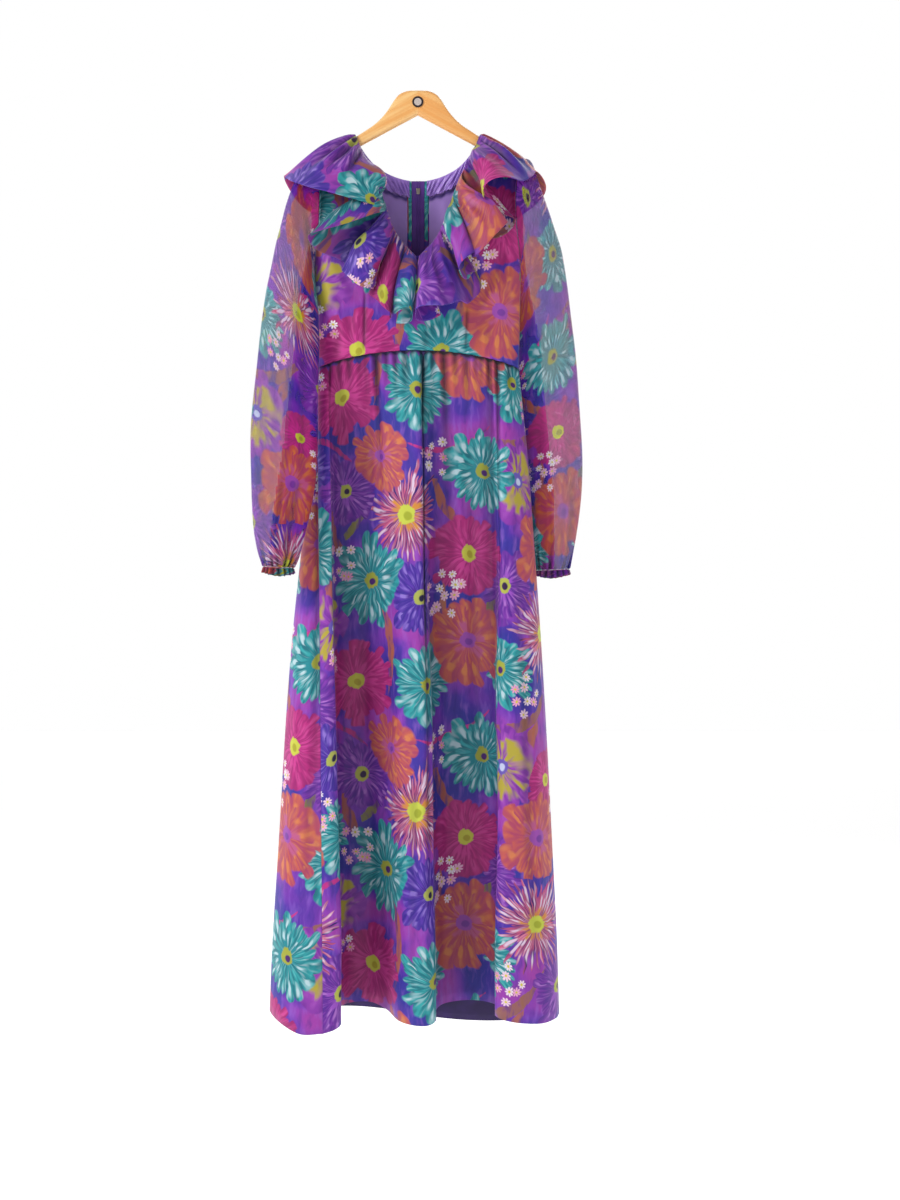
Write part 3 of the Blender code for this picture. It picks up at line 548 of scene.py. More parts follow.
def crowding(row, layer):
    # how much of the way to its nearest neighbour in the layer a flower takes up
    worst = 0.0
    for _, other in layer:
        gaps = []
        for axis, size in ((1, printRepeat["width"]), (2, printRepeat["height"])):
            gaps.append((row[axis] - other[axis] + size / 2) % size - size / 2)
        worst = max(worst, (row[3] + other[3]) / math.hypot(*gaps))
    return worst


def paintGround(desk, large, strokes):
    colour = tint("34309E")
    for tone, low, slope, share, code in (
        (large, 0.36, 6.0, 1.0, "5C2EAE"), (large, 0.47, 7.0, 1.0, "8C3AB6"),
        (large, 0.58, 8.0, 0.8, "A83CA8"), (strokes, 0.52, 4.0, 0.5, "9A62D0"),
        (strokes, 0.44, -5.0, 0.45, "2C2288"),
    ):
        wash = desk.step(tone, low, slope)
        wash = wash if share == 1.0 else desk.times(wash, share)
        colour = desk.mix(wash, colour, tint(code))
    return colour


def paintLeaves(desk, place, strokes, below):
    # the nearest leaf is chosen, then painted once
    colours = sorted({row[6] for row in leafChart})
    along, sizes = [], []
    for across, up, length, width, turn, curve, code in leafChart:
        along.append((math.cos(turn), math.sin(turn), (colours.index(code) + 0.5) / len(colours)))
        sizes.append((1 / length, width * 10, curve / 10))
    centres = [row[:2] for row in leafChart]
    away, along, size = chooseNearest(desk, place, centres, [1.0] * len(centres), [along, sizes])
    facing, size = desk.split(along), desk.split(size)
    run = desk.vector("DOT_PRODUCT", away, desk.join(facing[0], facing[1]))
    rise = desk.vector("DOT_PRODUCT", away, desk.join(desk.times(facing[1], -1.0), facing[0]))
    share = desk.times(run, size[0])
    bend = desk.times(desk.times(run, run), size[2])
    off = desk.absolute(desk.minus(rise, desk.times(bend, 10.0)))
    half = desk.times(size[1], desk.minus(0.25, desk.times(share, share)))
    half = desk.times(half, desk.line(strokes, 0.3, 0.2))
    leaf = desk.times(desk.minus(half, off), 700.0, clamp=True)
    leaf = desk.times(leaf, desk.line(strokes, 0.5, 0.62))
    leafColour = kindRamp(desk, facing[2], colours, tint)
    leafColour = desk.mix(desk.step(strokes, 0.5, -5.0), leafColour, tint("6A3C78"))
    return desk.mix(leaf, below, leafColour)


def paintFlowers(desk, place, below):
    # two layers; no two flowers of one layer meet
    kinds = list(flowerKinds)
    flower = flowerGroup()
    layers = [[], []]
    for number, row in enumerate(flowerChart):
        first, second = (crowding(row, layer) for layer in layers)
        layers[0 if first <= second else 1].append((number, row))
    for layer in layers:
        data = []
        for number, (kind, across, up, radius) in layer:
            data.append(((kinds.index(kind) + 0.5) / len(kinds), (number + 1) / 10, 0.01 / radius))
        centres, scales = [row[1:3] for _, row in layer], [1 / row[3] for _, row in layer]
        away, data = chooseNearest(desk, place, centres, scales, [data])
        data = desk.split(data)
        below = desk.fill(desk.add("ShaderNodeGroup", node_tree=flower), {
            "Away": away, "Kind": data[0], "Seed": desk.times(data[1], 10.0),
            "Scale": desk.times(data[2], 100.0), "Below": below,
        })
    return below


def printGroup():
    # the whole repeat: brushed ground, leaves, flowers, daisies
    desk, start, end, tree = newGroup("gardenPrint", [("Flat", "Vector")], [("Colour", "Color")])
    waver = desk.noise(start["Flat"], brushwork["waverScale"], 1.0, kind="2D")[1]
    waver = desk.vector("SUBTRACT", waver, (0.5, 0.5, 0.5))
    shift = desk.vector("MULTIPLY", waver, (brushwork["waver"], brushwork["waver"], 0.0))
    place = desk.vector("ADD", start["Flat"], shift)
    large = desk.noise(place, brushwork["washScale"], 1.5, kind="2D")[0]
    strokes = desk.noise(desk.vector("MULTIPLY", place, brushwork["strokes"]), 1.0, 2.0, kind="2D")[0]
    colour = paintGround(desk, large, strokes)
    colour = paintFlowers(desk, place, paintLeaves(desk, place, strokes, colour))
    daisies = desk.add("ShaderNodeGroup", node_tree=daisyGroup())
    desk.put(desk.fill(daisies, {"Place": place, "Below": colour}), end["Colour"])
    return tree


gardenPrint = printGroup()


def newMaterial(name):
    made = bpy.data.materials.new(name)
    made.use_nodes = True
    desk = NodeDesk(made.node_tree)
    shader = made.node_tree.nodes["Principled BSDF"]
    return made, desk, shader


def addBump(desk, shader, height, strength, distance):
    bump = desk.add("ShaderNodeBump")
    desk.fill(bump, {"Strength": strength, "Distance": distance, "Height": height})
    desk.put(bump.outputs[0], shader.inputs["Normal"])


def paintFoldShade(desk, colour, strength, code):
    # painted fold shade: the colour is multiplied towards a dark tint where the foldShade attribute says a
    # point lies deep in a fold
    depth = desk.add("ShaderNodeAttribute", attribute_name="foldShade").outputs["Fac"]
    depth = desk.times(depth, strength, clamp=True)
    return desk.mix(depth, colour, desk.mix(1.0, colour, tint(code), blend="MULTIPLY"))


def newCloth(name):
    made, desk, shader = newMaterial(name)
    return made, desk, shader, desk.add("ShaderNodeUVMap", uv_map="clothUV").outputs[0]


def printedCloth(name, depth, alpha=1.0, tone=1.0, roughness=0.55, sheen=0.15):
    made, desk, shader, flat = newCloth(name)
    colour = desk.fill(desk.add("ShaderNodeGroup", node_tree=gardenPrint), {"Flat": flat})
    if tone != 1.0:
        richer = desk.add("ShaderNodeHueSaturation")
        colour = desk.fill(richer, {"Saturation": 1.1, "Value": tone, "Color": colour})
    # the print is darkened by painted fold shade towards 2A1C50, as strongly as depth says
    desk.fill(shader, {
        "Base Color": paintFoldShade(desk, colour, depth, "2A1C50"), "Roughness": roughness, "Alpha": alpha,
        "Sheen Weight": sheen, "Sheen Roughness": 0.4, "Specular IOR Level": 0.35,
    })
    # crepe threads
    addBump(desk, shader, desk.noise(flat, 900.0, 2.0, kind="2D")[0], 0.35, 0.0004)
    return made


def plainCloth(name, code, dark, roughness, sheen=0.2, weave=1500.0, anisotropic=0.0):
    made, desk, shader, flat = newCloth(name)
    blotch = desk.noise(flat, 30.0, 2.0, kind="2D")[0]
    colour = desk.mix(desk.step(blotch, 0.4, 3.0), tint(dark), tint(code))
    # painted fold shade darkens the plain colour towards 604890
    desk.fill(shader, {
        "Base Color": paintFoldShade(desk, colour, 1.2, "604890"), "Roughness": roughness,
        "Sheen Weight": sheen, "Anisotropic": anisotropic,
    })
    addBump(desk, shader, desk.noise(flat, weave, 2.0, kind="2D")[0], 0.25, 0.0002)
    return made


def newHard(name):
    made, desk, shader = newMaterial(name)
    return made, desk, shader, desk.add("ShaderNodeTexCoord").outputs["Object"]


def metalMaterial():
    made, desk, shader, place = newHard("satinMetal")
    rub = desk.noise(place, 900.0, 2.0)[0]
    colour = desk.mix(rub, tint("B8AEA4"), tint("8C8278"))
    desk.fill(shader, {"Base Color": colour, "Roughness": desk.line(rub, 0.25, 0.22), "Metallic": 1.0})
    return made


def woodMaterial():
    made, desk, shader, place = newHard("varnishedWood")
    # each arm's grain runs along it, down from the middle
    parts = desk.split(place)
    slope = desk.line(desk.absolute(parts[0]), 0.54, parts[2])
    grainPlace = desk.join(desk.times(parts[0], 6.0), desk.times(parts[1], 60.0), desk.times(slope, 90.0))
    grain = desk.noise(grainPlace, 1.0, 3.0, 0.55)[0]
    pores = desk.noise(desk.vector("MULTIPLY", grainPlace, (6.0, 8.0, 8.0)), 1.0, 1.0)[0]
    colour = desk.mix(desk.step(grain, 0.38, 4.0), tint("F4B064"), tint("FFD08A"))
    colour = desk.mix(desk.times(desk.step(pores, 0.62, 6.0), 0.35), colour, tint("C88040"))
    right = desk.step(parts[0], 0.0, 5000.0)
    colour = desk.mix(desk.times(right, 0.35), colour, tint("F2A052"))
    desk.fill(shader, {
        "Base Color": colour, "Roughness": desk.line(grain, 0.2, 0.28),
        "Coat Weight": 0.3, "Coat Roughness": 0.2,
    })
    addBump(desk, shader, grain, 0.15, 0.0003)
    return made


def badgeMaterial():
    # a dark ring with a plain pale middle
    made, desk, shader, place = newHard("badgeEnamel")
    parts = desk.split(place)
    gap = desk.vector("LENGTH", desk.join(parts[0], desk.math("ADD", parts[2], 0.020)))
    ring = desk.step(gap, 0.0058, 4000.0)
    speck = desk.noise(place, 1500.0, 1.0)[0]
    colour = desk.mix(ring, desk.mix(speck, tint("D8CCC4"), tint("B4A8A4")), tint("241820"))
    desk.fill(shader, {"Base Color": colour, "Roughness": desk.line(speck, 0.2, 0.3)})
    return made


# the second number of each printed cloth: how strongly painted fold shade darkens it
printCloth = printedCloth("printedChiffon", 1.7)
ruffleCloth = printedCloth("ruffleChiffon", 1.4, roughness=0.5, sheen=0.2)
sheerCloth = printedCloth("sheerChiffon", 1.2, alpha=0.44, tone=1.08, roughness=0.6)
doubledCloth = printedCloth("doubledChiffon", 1.6, alpha=0.7, tone=0.95, roughness=0.6)
cuffCloth = printedCloth("gatheredChiffon", 1.8, alpha=0.95, tone=0.8)
liningCloth = plainCloth("violetLining", "B690E2", "A884D6", 0.5)
satinCloth = plainCloth("satinFacing", "BC94EC", "A87EE0", 0.3, sheen=0.1, anisotropic=0.5)
hemLiningCloth = plainCloth("darkLining", "341A62", "28124E", 0.6, sheen=0.0)
tapeCloth = plainCloth("zipTapeWeave", "62309A", "4E2284", 0.65, weave=900.0)
metalLook, woodLook, badgeLook = metalMaterial(), woodMaterial(), badgeMaterial()
print("materials made")


# Hanger: upright sections along a flat bar of wood, with rounded corners and a hole for its hook.
hanger = {
    "thickness": 11.0, "rounding": 5.2, "cornerHeight": 1.12, "apex": -40.5, "underSlope": 0.536,
    "reach": 172.0, "tip": 16.0, "tipRest": 0.06, "stations": 150, "crowding": 1.3, "crownSteps": 400,
    "cornerSteps": 7, "holeRadius": 2.0, "holeDepth": 22.0, "smoothAngle": 0.7,
}
crown = [
    (0, 0), (14, -0.5), (24, -3.2), (32, -8.2), (40, -18.5), (49, -32.5), (60, -45.8), (73, -57.2),
    (88, -67.2), (102, -76.2), (120, -86.3), (145, -100.1), (172, -115.1),
]


def hangerSection(x):
    # one upright section's outline at x, drawn in at the tips
    edge = smoothRows(crown, np.linspace(0, len(crown) - 1, hanger["crownSteps"]))
    past = max(0.0, abs(x) - (hanger["reach"] - hanger["tip"])) / hanger["tip"]
    closing = max(hanger["tipRest"], math.sqrt(max(0.0, 1 - past * past)))
    top = np.interp(abs(x), edge[:, 0], edge[:, 1])
    low = hanger["apex"] - hanger["underSlope"] * abs(x)
    middle, halfHeight = (top + low) / 2, (top - low) / 2 * closing
    half, inset = hanger["thickness"] / 2 * closing, hanger["rounding"] * closing
    rise = min(hanger["rounding"] * hanger["cornerHeight"], halfHeight * 0.98)
    ring = []
    for corner, (front, upper) in enumerate(((1, 1), (1, -1), (-1, -1), (-1, 1))):
        for angle in math.pi / 2 * (corner + np.linspace(0, 1, hanger["cornerSteps"])):
            y = (half - inset) * front + inset * math.sin(angle)
            z = (halfHeight - rise) * upper + rise * math.cos(angle)
            ring.append((x, y, middle + z))
    return ring + ring[:1]


stations = np.linspace(-1, 1, hanger["stations"] + 1)
spread = 1 - (1 - np.abs(stations)) ** hanger["crowding"]
stations = hanger["reach"] * np.sign(stations) * spread
wood = newGrid("hangerWood", np.array([hangerSection(x) for x in stations]) * mm)
wood.data.update()
mergeSeam(seamMerge["wood"])
# caps on the two tips
bpy.ops.mesh.select_all(action="DESELECT")
bpy.ops.mesh.select_non_manifold()
bpy.ops.mesh.edge_face_add()
bpy.ops.mesh.select_all(action="SELECT")
bpy.ops.mesh.normals_make_consistent(inside=False)
bpy.ops.object.mode_set(mode="OBJECT")
deselectAll()
hole = {"radius": hanger["holeRadius"] * mm, "depth": 2 * hanger["holeDepth"] * mm}
bpy.ops.mesh.primitive_cylinder_add(vertices=20, **hole)
drill = bpy.context.object
applyModifier(wood, "hookHole", "BOOLEAN", operation="DIFFERENCE", object=drill)
bpy.data.objects.remove(drill, do_unlink=True)
paint(wood, woodLook)
deselectAll()
wood.select_set(True)
bpy.context.view_layer.objects.active = wood
bpy.ops.object.shade_smooth_by_angle(angle=hanger["smoothAngle"])
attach(wood, "garment")
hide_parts("hanger_wood")
print("hanger made")


# Bodice: its wall hangs from the hanger's arms, in millimetres until a point is made.
bodice = {
    "neckHalf": 102.0, "shoulderTop": -74.0, "shoulderSlope": 0.554, "shoulderHalf": 167.0,
    "shoulderRound": 7.8, "armholeLow": -283.0, "armholeOpen": 22.0, "waistHalf": 163.0,
    "waistFront": -430.0, "waistDrop": 26.0, "frontFullness": 27.0, "backFullness": 20.0,
    "frontEase": 210.0, "backEase": 150.0, "neckShare": 0.6, "underarmShare": 0.46, "backSlot": 2.6,
    "edgeStand": 0.6, "sideBluntness": 6, "armholeRounding": 3, "wall": 0.9, "columns": 170, "rows": 110,
    "ripple": 0.7, "frontCrowding": 0.85, "backCrowding": 0.9, "rowCrowding": 1.25, "cloth": 1.06,
}
frontNeck = [(0, -283), (32, -246), (50, -200), (68, -150), (90, -104), (102, -74)]
backNeck = [(2.6, -146), (22, -144), (45, -137), (68, -124), (88, -102), (102, -74)]
armhole = [(163, -456), (165, -363), (166, -283), (158, -228), (157, -168), (167, -110)]


def shoulderHeight(x):
    return bodice["shoulderTop"] - bodice["shoulderSlope"] * (np.abs(x) - bodice["neckHalf"])


def bodicePoints(u, v, back):
    # points of the bodice's wall in metres; u is negative on the left half, v runs from the waist up
    u, v = np.broadcast_arrays(np.asarray(u, float), np.asarray(v, float))
    shape = u.shape
    u, v = u.ravel(), v.ravel()
    a = np.abs(u)
    neck = backNeck if back else frontNeck
    start = bodice["backSlot"] if back else 0.0
    share = bodice["neckShare"]

    def waist(s):
        x = start + (bodice["waistHalf"] - start) * s
        return np.stack([x, bodice["waistFront"] - bodice["waistDrop"] * s * s], -1)

    def top(s):
        s = np.broadcast_to(np.asarray(s, float), a.shape)
        curve = smoothRows(neck, np.clip(s / share, 0, 1) * (len(neck) - 1))
        along = np.clip((s - share) / (1 - share), 0, 1)
        x = bodice["neckHalf"] + (bodice["shoulderHalf"] - bodice["neckHalf"]) * along
        return np.where((s < share)[:, None], curve, np.stack([x, shoulderHeight(x)], -1))

    def side(s):
        underarm = bodice["underarmShare"]
        low = smoothRows(armhole, np.clip(2 * s / underarm, 0, 2))
        high = smoothRows(armhole, 2 + 3 * np.clip((s - underarm) / (1 - underarm), 0, 1))
        return np.where((s < underarm)[:, None], low, high)

    zero, one = np.zeros_like(a), np.ones_like(a)
    au, av = a[:, None], v[:, None]
    middle = waist(zero) + (top(zero) - waist(zero)) * av
    corners = (1 - au) * (1 - av) * waist(zero) + au * (1 - av) * waist(one)
    corners = corners + (1 - au) * av * top(zero) + au * av * top(one)
    flat = (1 - av) * waist(a) + av * top(a) + (1 - au) * middle + au * side(v) - corners
    x, z = flat[:, 0], flat[:, 1]
    down = np.maximum(0.0, shoulderHeight(x) - z)
    radius = bodice["shoulderRound"]
    turn = np.minimum(down / radius, math.pi / 2)
    half = "back" if back else "front"
    fill = bodice[half + "Fullness"] * ease(down / bodice[half + "Ease"])
    edge = np.sqrt(np.maximum(0.0, 1 - a ** bodice["sideBluntness"]))
    hole = np.clip((z - bodice["armholeLow"]) / (shoulderHeight(x) - bodice["armholeLow"]), 0, 1)
    opening = bodice["armholeOpen"] * hump(hole)
    rounding = radius * np.sin(turn) * (edge + (1 - edge) * ease(bodice["armholeRounding"] * hole))
    y = np.maximum(bodice["edgeStand"], rounding + fill * edge + opening * (1 - edge))
    z = shoulderHeight(x) - radius * (1 - np.cos(turn)) - np.maximum(0.0, down - radius * math.pi / 2)
    points = np.stack([np.where(u < 0, -x, x), y if back else -y, z], -1) * mm
    return points.reshape(shape + (3,))


def fallCoordinates(points, offset):
    # flat-cloth coordinates of a piece that hangs nearly flat: its width and each column's own height
    up = arcAlong(points, 0)
    up = up + (points[:1, :, 2] - points[:1, :, 2].min())
    return np.stack([points[..., 0] * bodice["cloth"] + offset[0], up + offset[1]], -1)


def clothCoordinates(points, grainColumn, offset):
    # flat-cloth coordinates in metres: along each row from the grain line, and up the grain line
    along = arcAlong(points, 1)
    along = along - along[:, grainColumn : grainColumn + 1]
    up = arcAlong(points, 0)[:, grainColumn]
    ups = np.broadcast_to(up[:, None], along.shape)
    return np.stack([along + offset[0], ups + offset[1]], -1)


frontDarts = [
    # two seam-like darts under the ruffle, soft pulls beside them and from the underarms
    (-84, -334, -86, -436, 2.2, -1.6), (79, -360, 77, -434, 2.2, -1.6), (-96, -350, -100, -436, 7, 1.6),
    (66, -370, 64, -434, 7, 1.4), (-150, -300, -112, -420, 9, 2.4), (-140, -262, -92, -356, 8, -1.8),
    (150, -300, 118, -424, 9, 2.2), (142, -262, 100, -352, 8, -1.8), (-30, -396, -34, -436, 6, 1.6),
    (12, -392, 14, -436, 5, -2.0), (36, -398, 34, -436, 6, 1.2), (-58, -404, -60, -438, 5, 1.2),
    (104, -392, 106, -440, 6, 1.4), (-128, -380, -130, -440, 6, -1.6),
]


def bodiceSheet(name, back, side=0, offset=(0.0, 0.0), creases=()):
    columns = bodice["columns"]
    if back:
        u = np.linspace(0.0, 1.0, columns // 2) ** bodice["backCrowding"]
        u = side * np.maximum(u, tiny)
        u = u if side < 0 else u[::-1]
    else:
        u = np.linspace(-1, 1, columns)
        u = np.sign(u) * np.abs(u) ** bodice["frontCrowding"]
    v = np.linspace(0, 1, bodice["rows"])
    # closer rows near the shoulder, where the wall turns over
    v = 1 - (1 - v) ** bodice["rowCrowding"]
    points = bodicePoints(u[None, :], v[:, None], back)
    normals = sheetNormals(points)
    lift = creaseField(points[..., 0], points[..., 2], creases)
    lift += bodice["ripple"] * mm * softNoise(points[..., 0] * 9, points[..., 2] * 7, 3 + side)
    inner = ease(v / 0.05)[:, None] * ease((1 - v) / 0.12)[:, None] * ease((1 - np.abs(u)) / 0.08)[None, :]
    points = points + normals * (lift * inner)[..., None]
    return newSheet(name, points, fallCoordinates(points, offset), printCloth, bodice["wall"])


bodiceFront = bodiceSheet("bodiceFront", False, offset=(0.42, 0.04), creases=frontDarts)
finishSheet(
    bodiceFront, ["bodice_front"]
)
backPulls = [
    (30, -200, 60, -420, 9, 2.0), (-34, -220, -58, -424, 9, 1.8), (96, -210, 120, -400, 10, 2.2),
    (-100, -190, -126, -410, 10, 2.2), (72, -380, 70, -436, 5, 1.6), (-76, -380, -78, -438, 5, 1.6),
]
for side, name, offset in ((-1, "Left", (0.10, 0.02)), (1, "Right", (0.44, 0.21))):
    panel = bodiceSheet("bodiceBack" + name, True, side, offset, backPulls)
    nodes = ["bodice_back_" + name.lower()]
    finishSheet(panel, nodes)
print("bodice made")


# Inner back pieces lie on the back panels' own points, moved in towards the front.
inside = {
    "lining": 1.9, "facing": 3.4, "allowance": 1.8, "wall": 0.8, "waistEnd": 0.018, "crowding": 1.2,
    "facingLow": 0.908, "facingHeight": 0.092, "facingWave": 2.2, "facingShade": 0.897, "allowanceWave": 0.3,
}


def innerRows(count):
    # from just above the waist to the neck, closer near the neck
    return 1 - (1 - np.linspace(inside["waistEnd"], 1.0, count)) ** inside["crowding"]


def onBack(side, u, v, inward):
    # inner sheets face the front, so their columns run the other way
    points = bodicePoints(side * np.maximum(u, tiny)[None, :], v[:, None], True)
    points[..., 1] -= inward * mm
    return points[:, ::-1] if side < 0 else points


def innerSheet(name, points, offset, look, shade=None, grainColumn=0):
    uvs = clothCoordinates(points, grainColumn, offset)
    return newSheet(name, points, uvs, look, inside["wall"], shade=shade)


for side, name in ((-1, "Left"), (1, "Right")):
    offset = (0.3 if side > 0 else 0.05, 0.1)
    v = innerRows(80)
    points = onBack(side, np.linspace(0.1, 0.5, 60), v, inside["lining"])
    pulls = [(side * 40, -170, side * 62, -330, 8, 1.0), (side * 70, -160, side * 80, -300, 9, -0.9)]
    ripple = creaseField(points[..., 0], points[..., 2], pulls)
    points[..., 1] -= np.maximum(ripple, -0.3 * mm)
    # painted shadow: a dark band on the lining just below the facing's edge, where the facing keeps the light
    # off, added to the painted fold shade
    underEdge = (v - inside["facingShade"])[:, None] + 0.004 * np.sin(np.linspace(0, 28, 60))[None, :]
    shade = np.minimum(foldShade(points) + 0.9 * bell(underEdge / 0.014), 1.0)
    lining = innerSheet("backLining" + name, points, offset, liningCloth, shade)
    finishSheet(lining, ["back_lining_" + name.lower()])

    v = np.linspace(1.0, inside["facingLow"], 30)[::-1]
    points = onBack(side, np.linspace(0.075, 0.5, 120), v, inside["facing"])
    down = (1.0 - v) / inside["facingHeight"]
    along = np.linspace(0, 1, 120)
    wave = inside["facingWave"] * (down**2)[:, None] * (1 + 0.8 * np.sin(9 * math.pi * along))[None, :]
    # satin wrinkles run slantwise across the facing
    slant = along[None, :] * 9 + side * down[:, None] * 1.7 + 0.5 * np.sin(along * 7)[None, :]
    wrinkle = 1.1 * np.sin(2 * math.pi * slant) * hump(np.clip(down, 0, 1))[:, None]
    wrinkle += 0.35 * np.sin(2 * math.pi * slant * 2.3 + 1.0) * (0.3 + down)[:, None]
    points[..., 1] -= (wave + np.maximum(wrinkle, -1.0)) * mm
    edge = 1.2 * np.sin(2 * math.pi * along * 5 + side) + 0.6 * np.sin(2 * math.pi * along * 11)
    points[..., 2] += edge[None, :] * down[:, None] * mm
    facing = innerSheet("neckFacing" + name, points, offset, satinCloth)
    finishSheet(facing, ["neck_facing_" + name.lower()])

    points = onBack(side, np.linspace(0.053, 0.088, 8), innerRows(90), inside["allowance"])
    points[..., 1] -= inside["allowanceWave"] * mm * (1 + np.sin(np.linspace(0, 30, 90)))[:, None]
    strip = innerSheet("seamAllowance" + name, points, (0.2, 0.05), printCloth)
    nodes = ["seam_allowance_" + name.lower()]
    finishSheet(strip, nodes)

# zip tape, straight across behind the opening
zipTapeSizes = {"edge": 0.050, "columns": 24, "coil": 0.5, "coilPlaces": (0.40, 0.60), "coilWidth": 0.05}
v = innerRows(90)
ends = [bodicePoints(np.array([[side * zipTapeSizes["edge"]]]), v[:, None], True)[:, 0] for side in (1, -1)]
t = np.linspace(0, 1, zipTapeSizes["columns"])
points = ends[0][:, None] * (1 - t)[None, :, None] + ends[1][:, None] * t[None, :, None]
points[..., 1] -= inside["lining"] * mm
# the coil shows through the tape as a raised cord on each side of the middle
coil = sum(bell((t - place) / zipTapeSizes["coilWidth"]) for place in zipTapeSizes["coilPlaces"])
points[..., 1] -= zipTapeSizes["coil"] * mm * coil[None, :]
zipTape = innerSheet("zipTape", points, (0.0, 0.0), tapeCloth, grainColumn=12)
finishSheet(zipTape, ["zip_tape"])

# the slider's inner plate, which shows at the top of the closed zip
plateSizes = {"width": 7.2, "depth": 1.3, "height": 9.5, "y": 23.7, "z": -157.5, "taper": 0.72, "edge": 0.5}
deselectAll()
bpy.ops.mesh.primitive_cube_add(size=1.0)
plate = bpy.context.object
plate.name = plate.data.name = "zipSliderPlate"
for vertex in plate.data.vertices:
    x, y, z = vertex.co
    narrow = 1.0 if z > 0 else plateSizes["taper"]
    x, y, z = x * plateSizes["width"] * narrow, y * plateSizes["depth"], z * plateSizes["height"]
    vertex.co = (x * mm, (plateSizes["y"] + y) * mm, (plateSizes["z"] + z) * mm)
applyModifier(plate, "edges", "BEVEL", width=plateSizes["edge"] * mm, segments=3)
paint(plate, metalLook)
bpy.ops.object.shade_smooth_by_angle(angle=0.6)
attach(plate, "garment")
print("inner back pieces made")


# Skirt: one row for each bend of the cloth at the hem, and where that bend starts on the waist seam.
skirt = {
    "hem": -1500.0, "seamGap": 0.6, "wall": 0.9, "stepsPerFold": 14, "rows": 112, "rowCrowding": 1.5,
    "hemShape": 1.4, "sway": 1.3, "swayFrom": 300.0, "seamShade": 5.0, "gathered": 0.18, "gatheredTo": 260.0,
}
frontFolds = [
    (-148, -82, -5, -163), (-130, -80, -1, -152), (-119, -68, 4, -144), (-127, -42, 8, -139),
    (-128, -8, 12, -134), (-108, 17, 14, -124), (-75, 20, 14, -100), (-48, 2, 8, -72), (-28, -36, 2, -46),
    (-4, -56, 0, -18), (18, -57, 0, 0), (31, -42, 3, 10), (28, -12, 8, 17), (40, 12, 13, 26),
    (72, 21, 16, 52), (105, 17, 16, 86), (129, -2, 14, 110), (131, -26, 13, 120), (124, -46, 10, 127),
    (136, -60, 7, 134), (163, -60, 3, 145), (198, -45, 0, 153), (222, -16, 1, 159), (229, 8, 3, 163),
]
backRightFolds = [
    (229, 8, 3, 163), (222, 36, 5, 158), (196, 62, 4, 147), (160, 80, 0, 124), (120, 66, 4, 98),
    (80, 90, 0, 70), (40, 72, 4, 36), (0, 88, 0, 0),
]
backLeftFolds = [
    (0, 88, 0, 0), (-40, 72, 4, -35), (-85, 90, 0, -66), (-125, 68, 4, -94), (-165, 84, 0, -118),
    (-205, 64, 6, -137), (-231, 28, 10, -149), (-239, -18, 11, -156), (-218, -58, 3, -160),
    (-184, -80, -6, -162), (-148, -82, -5, -163),
]
skirtRings = [
    # how far down, how far flared, how deep the folds
    (0.0, 0.0, 0.0), (0.025, 0.04, 0.09), (0.07, 0.12, 0.22), (0.15, 0.24, 0.36), (0.27, 0.38, 0.5),
    (0.42, 0.55, 0.64), (0.58, 0.70, 0.77), (0.74, 0.83, 0.87), (0.88, 0.94, 0.95), (1.0, 1.0, 1.0),
]
frontGathers = [
    # place on the waist seam, how far down it runs, width, height
    (-157, 26, 4, 2.4), (-149, 30, 3, -2.2), (-142, 1000, 4, -4.0), (-134, 34, 4, 2.8),
    (-126, 26, 3, -2.2), (-118, 44, 5, 2.6), (-110, 30, 3, -2.6), (-101, 36, 4, 2.8), (-92, 40, 3, -2.6),
    (-84, 70, 4, -2.6), (-76, 30, 4, 3.0), (-67, 300, 4, -4.6), (-58, 260, 6, 3.2), (-50, 28, 3, -2.2),
    (-43, 36, 4, 3.0), (-35, 44, 3, -2.8), (-27, 30, 4, 2.6), (-20, 60, 4, -2.4), (-12, 34, 4, 2.8),
    (-3, 500, 7, 2.4), (9, 1100, 4, -6.6), (18, 44, 4, 2.6), (25, 28, 3, -2.2), (33, 36, 4, 2.8),
    (42, 190, 4, -3.6), (52, 120, 6, 3.0), (60, 28, 3, -2.2), (67, 34, 4, 2.6), (78, 90, 4, -3.0),
    (86, 40, 4, 2.6), (94, 30, 3, -2.4), (101, 90, 4, -2.6), (108, 34, 4, 2.8), (114, 110, 4, -2.8),
    (121, 36, 4, 2.4), (128, 900, 4, -4.4), (138, 60, 5, 3.2), (146, 50, 3, -2.4), (152, 30, 3, 2.2),
    (158, 26, 3, -1.8),
]
backGathers = [
    (12, 200, 6, 3.0), (24, 80, 4, -3.0), (36, 320, 6, 3.4), (48, 70, 4, -2.8), (58, 120, 5, 3.0),
    (70, 420, 5, -3.6), (82, 70, 5, 2.8), (94, 200, 4, -3.2), (105, 90, 5, 3.0), (116, 60, 4, -2.6),
    (126, 300, 5, 3.2), (136, 80, 4, -2.8), (146, 110, 4, 2.6), (153, 60, 3, -2.2),
]
skirtCreases = [
    # long soft ridges and troughs below the gathers
    (-68, -470, -52, -900, 7, 2.6), (-78, -520, -92, -1100, 12, -3.0), (-100, -640, -98, -1300, 9, 2.6),
    (-24, -700, -16, -1400, 12, 2.6), (12, -470, 22, -1300, 6, -5.0), (44, -470, 60, -760, 8, -2.6),
    (62, -560, 82, -1050, 13, 3.0), (84, -620, 100, -1250, 9, -2.8), (112, -470, 118, -900, 7, -3.0),
    (148, -560, 168, -1200, 10, 3.0), (160, -760, 190, -1400, 9, -2.6), (176, -900, 206, -1460, 9, 2.4),
    (-6, -1120, -10, -1480, 7, -2.4), (-112, -1000, -124, -1480, 6, 2.2),
    (-60, -1150, -66, -1480, 9, 2.4), (-40, -760, -46, -1080, 9, -2.4), (30, -900, 38, -1300, 8, 2.8),
    (-70, -1010, -20, -1120, 16, 1.8), (60, -1230, 110, -1330, 18, 2.0),
    (-96, -1290, -60, -1390, 14, 1.8),
]
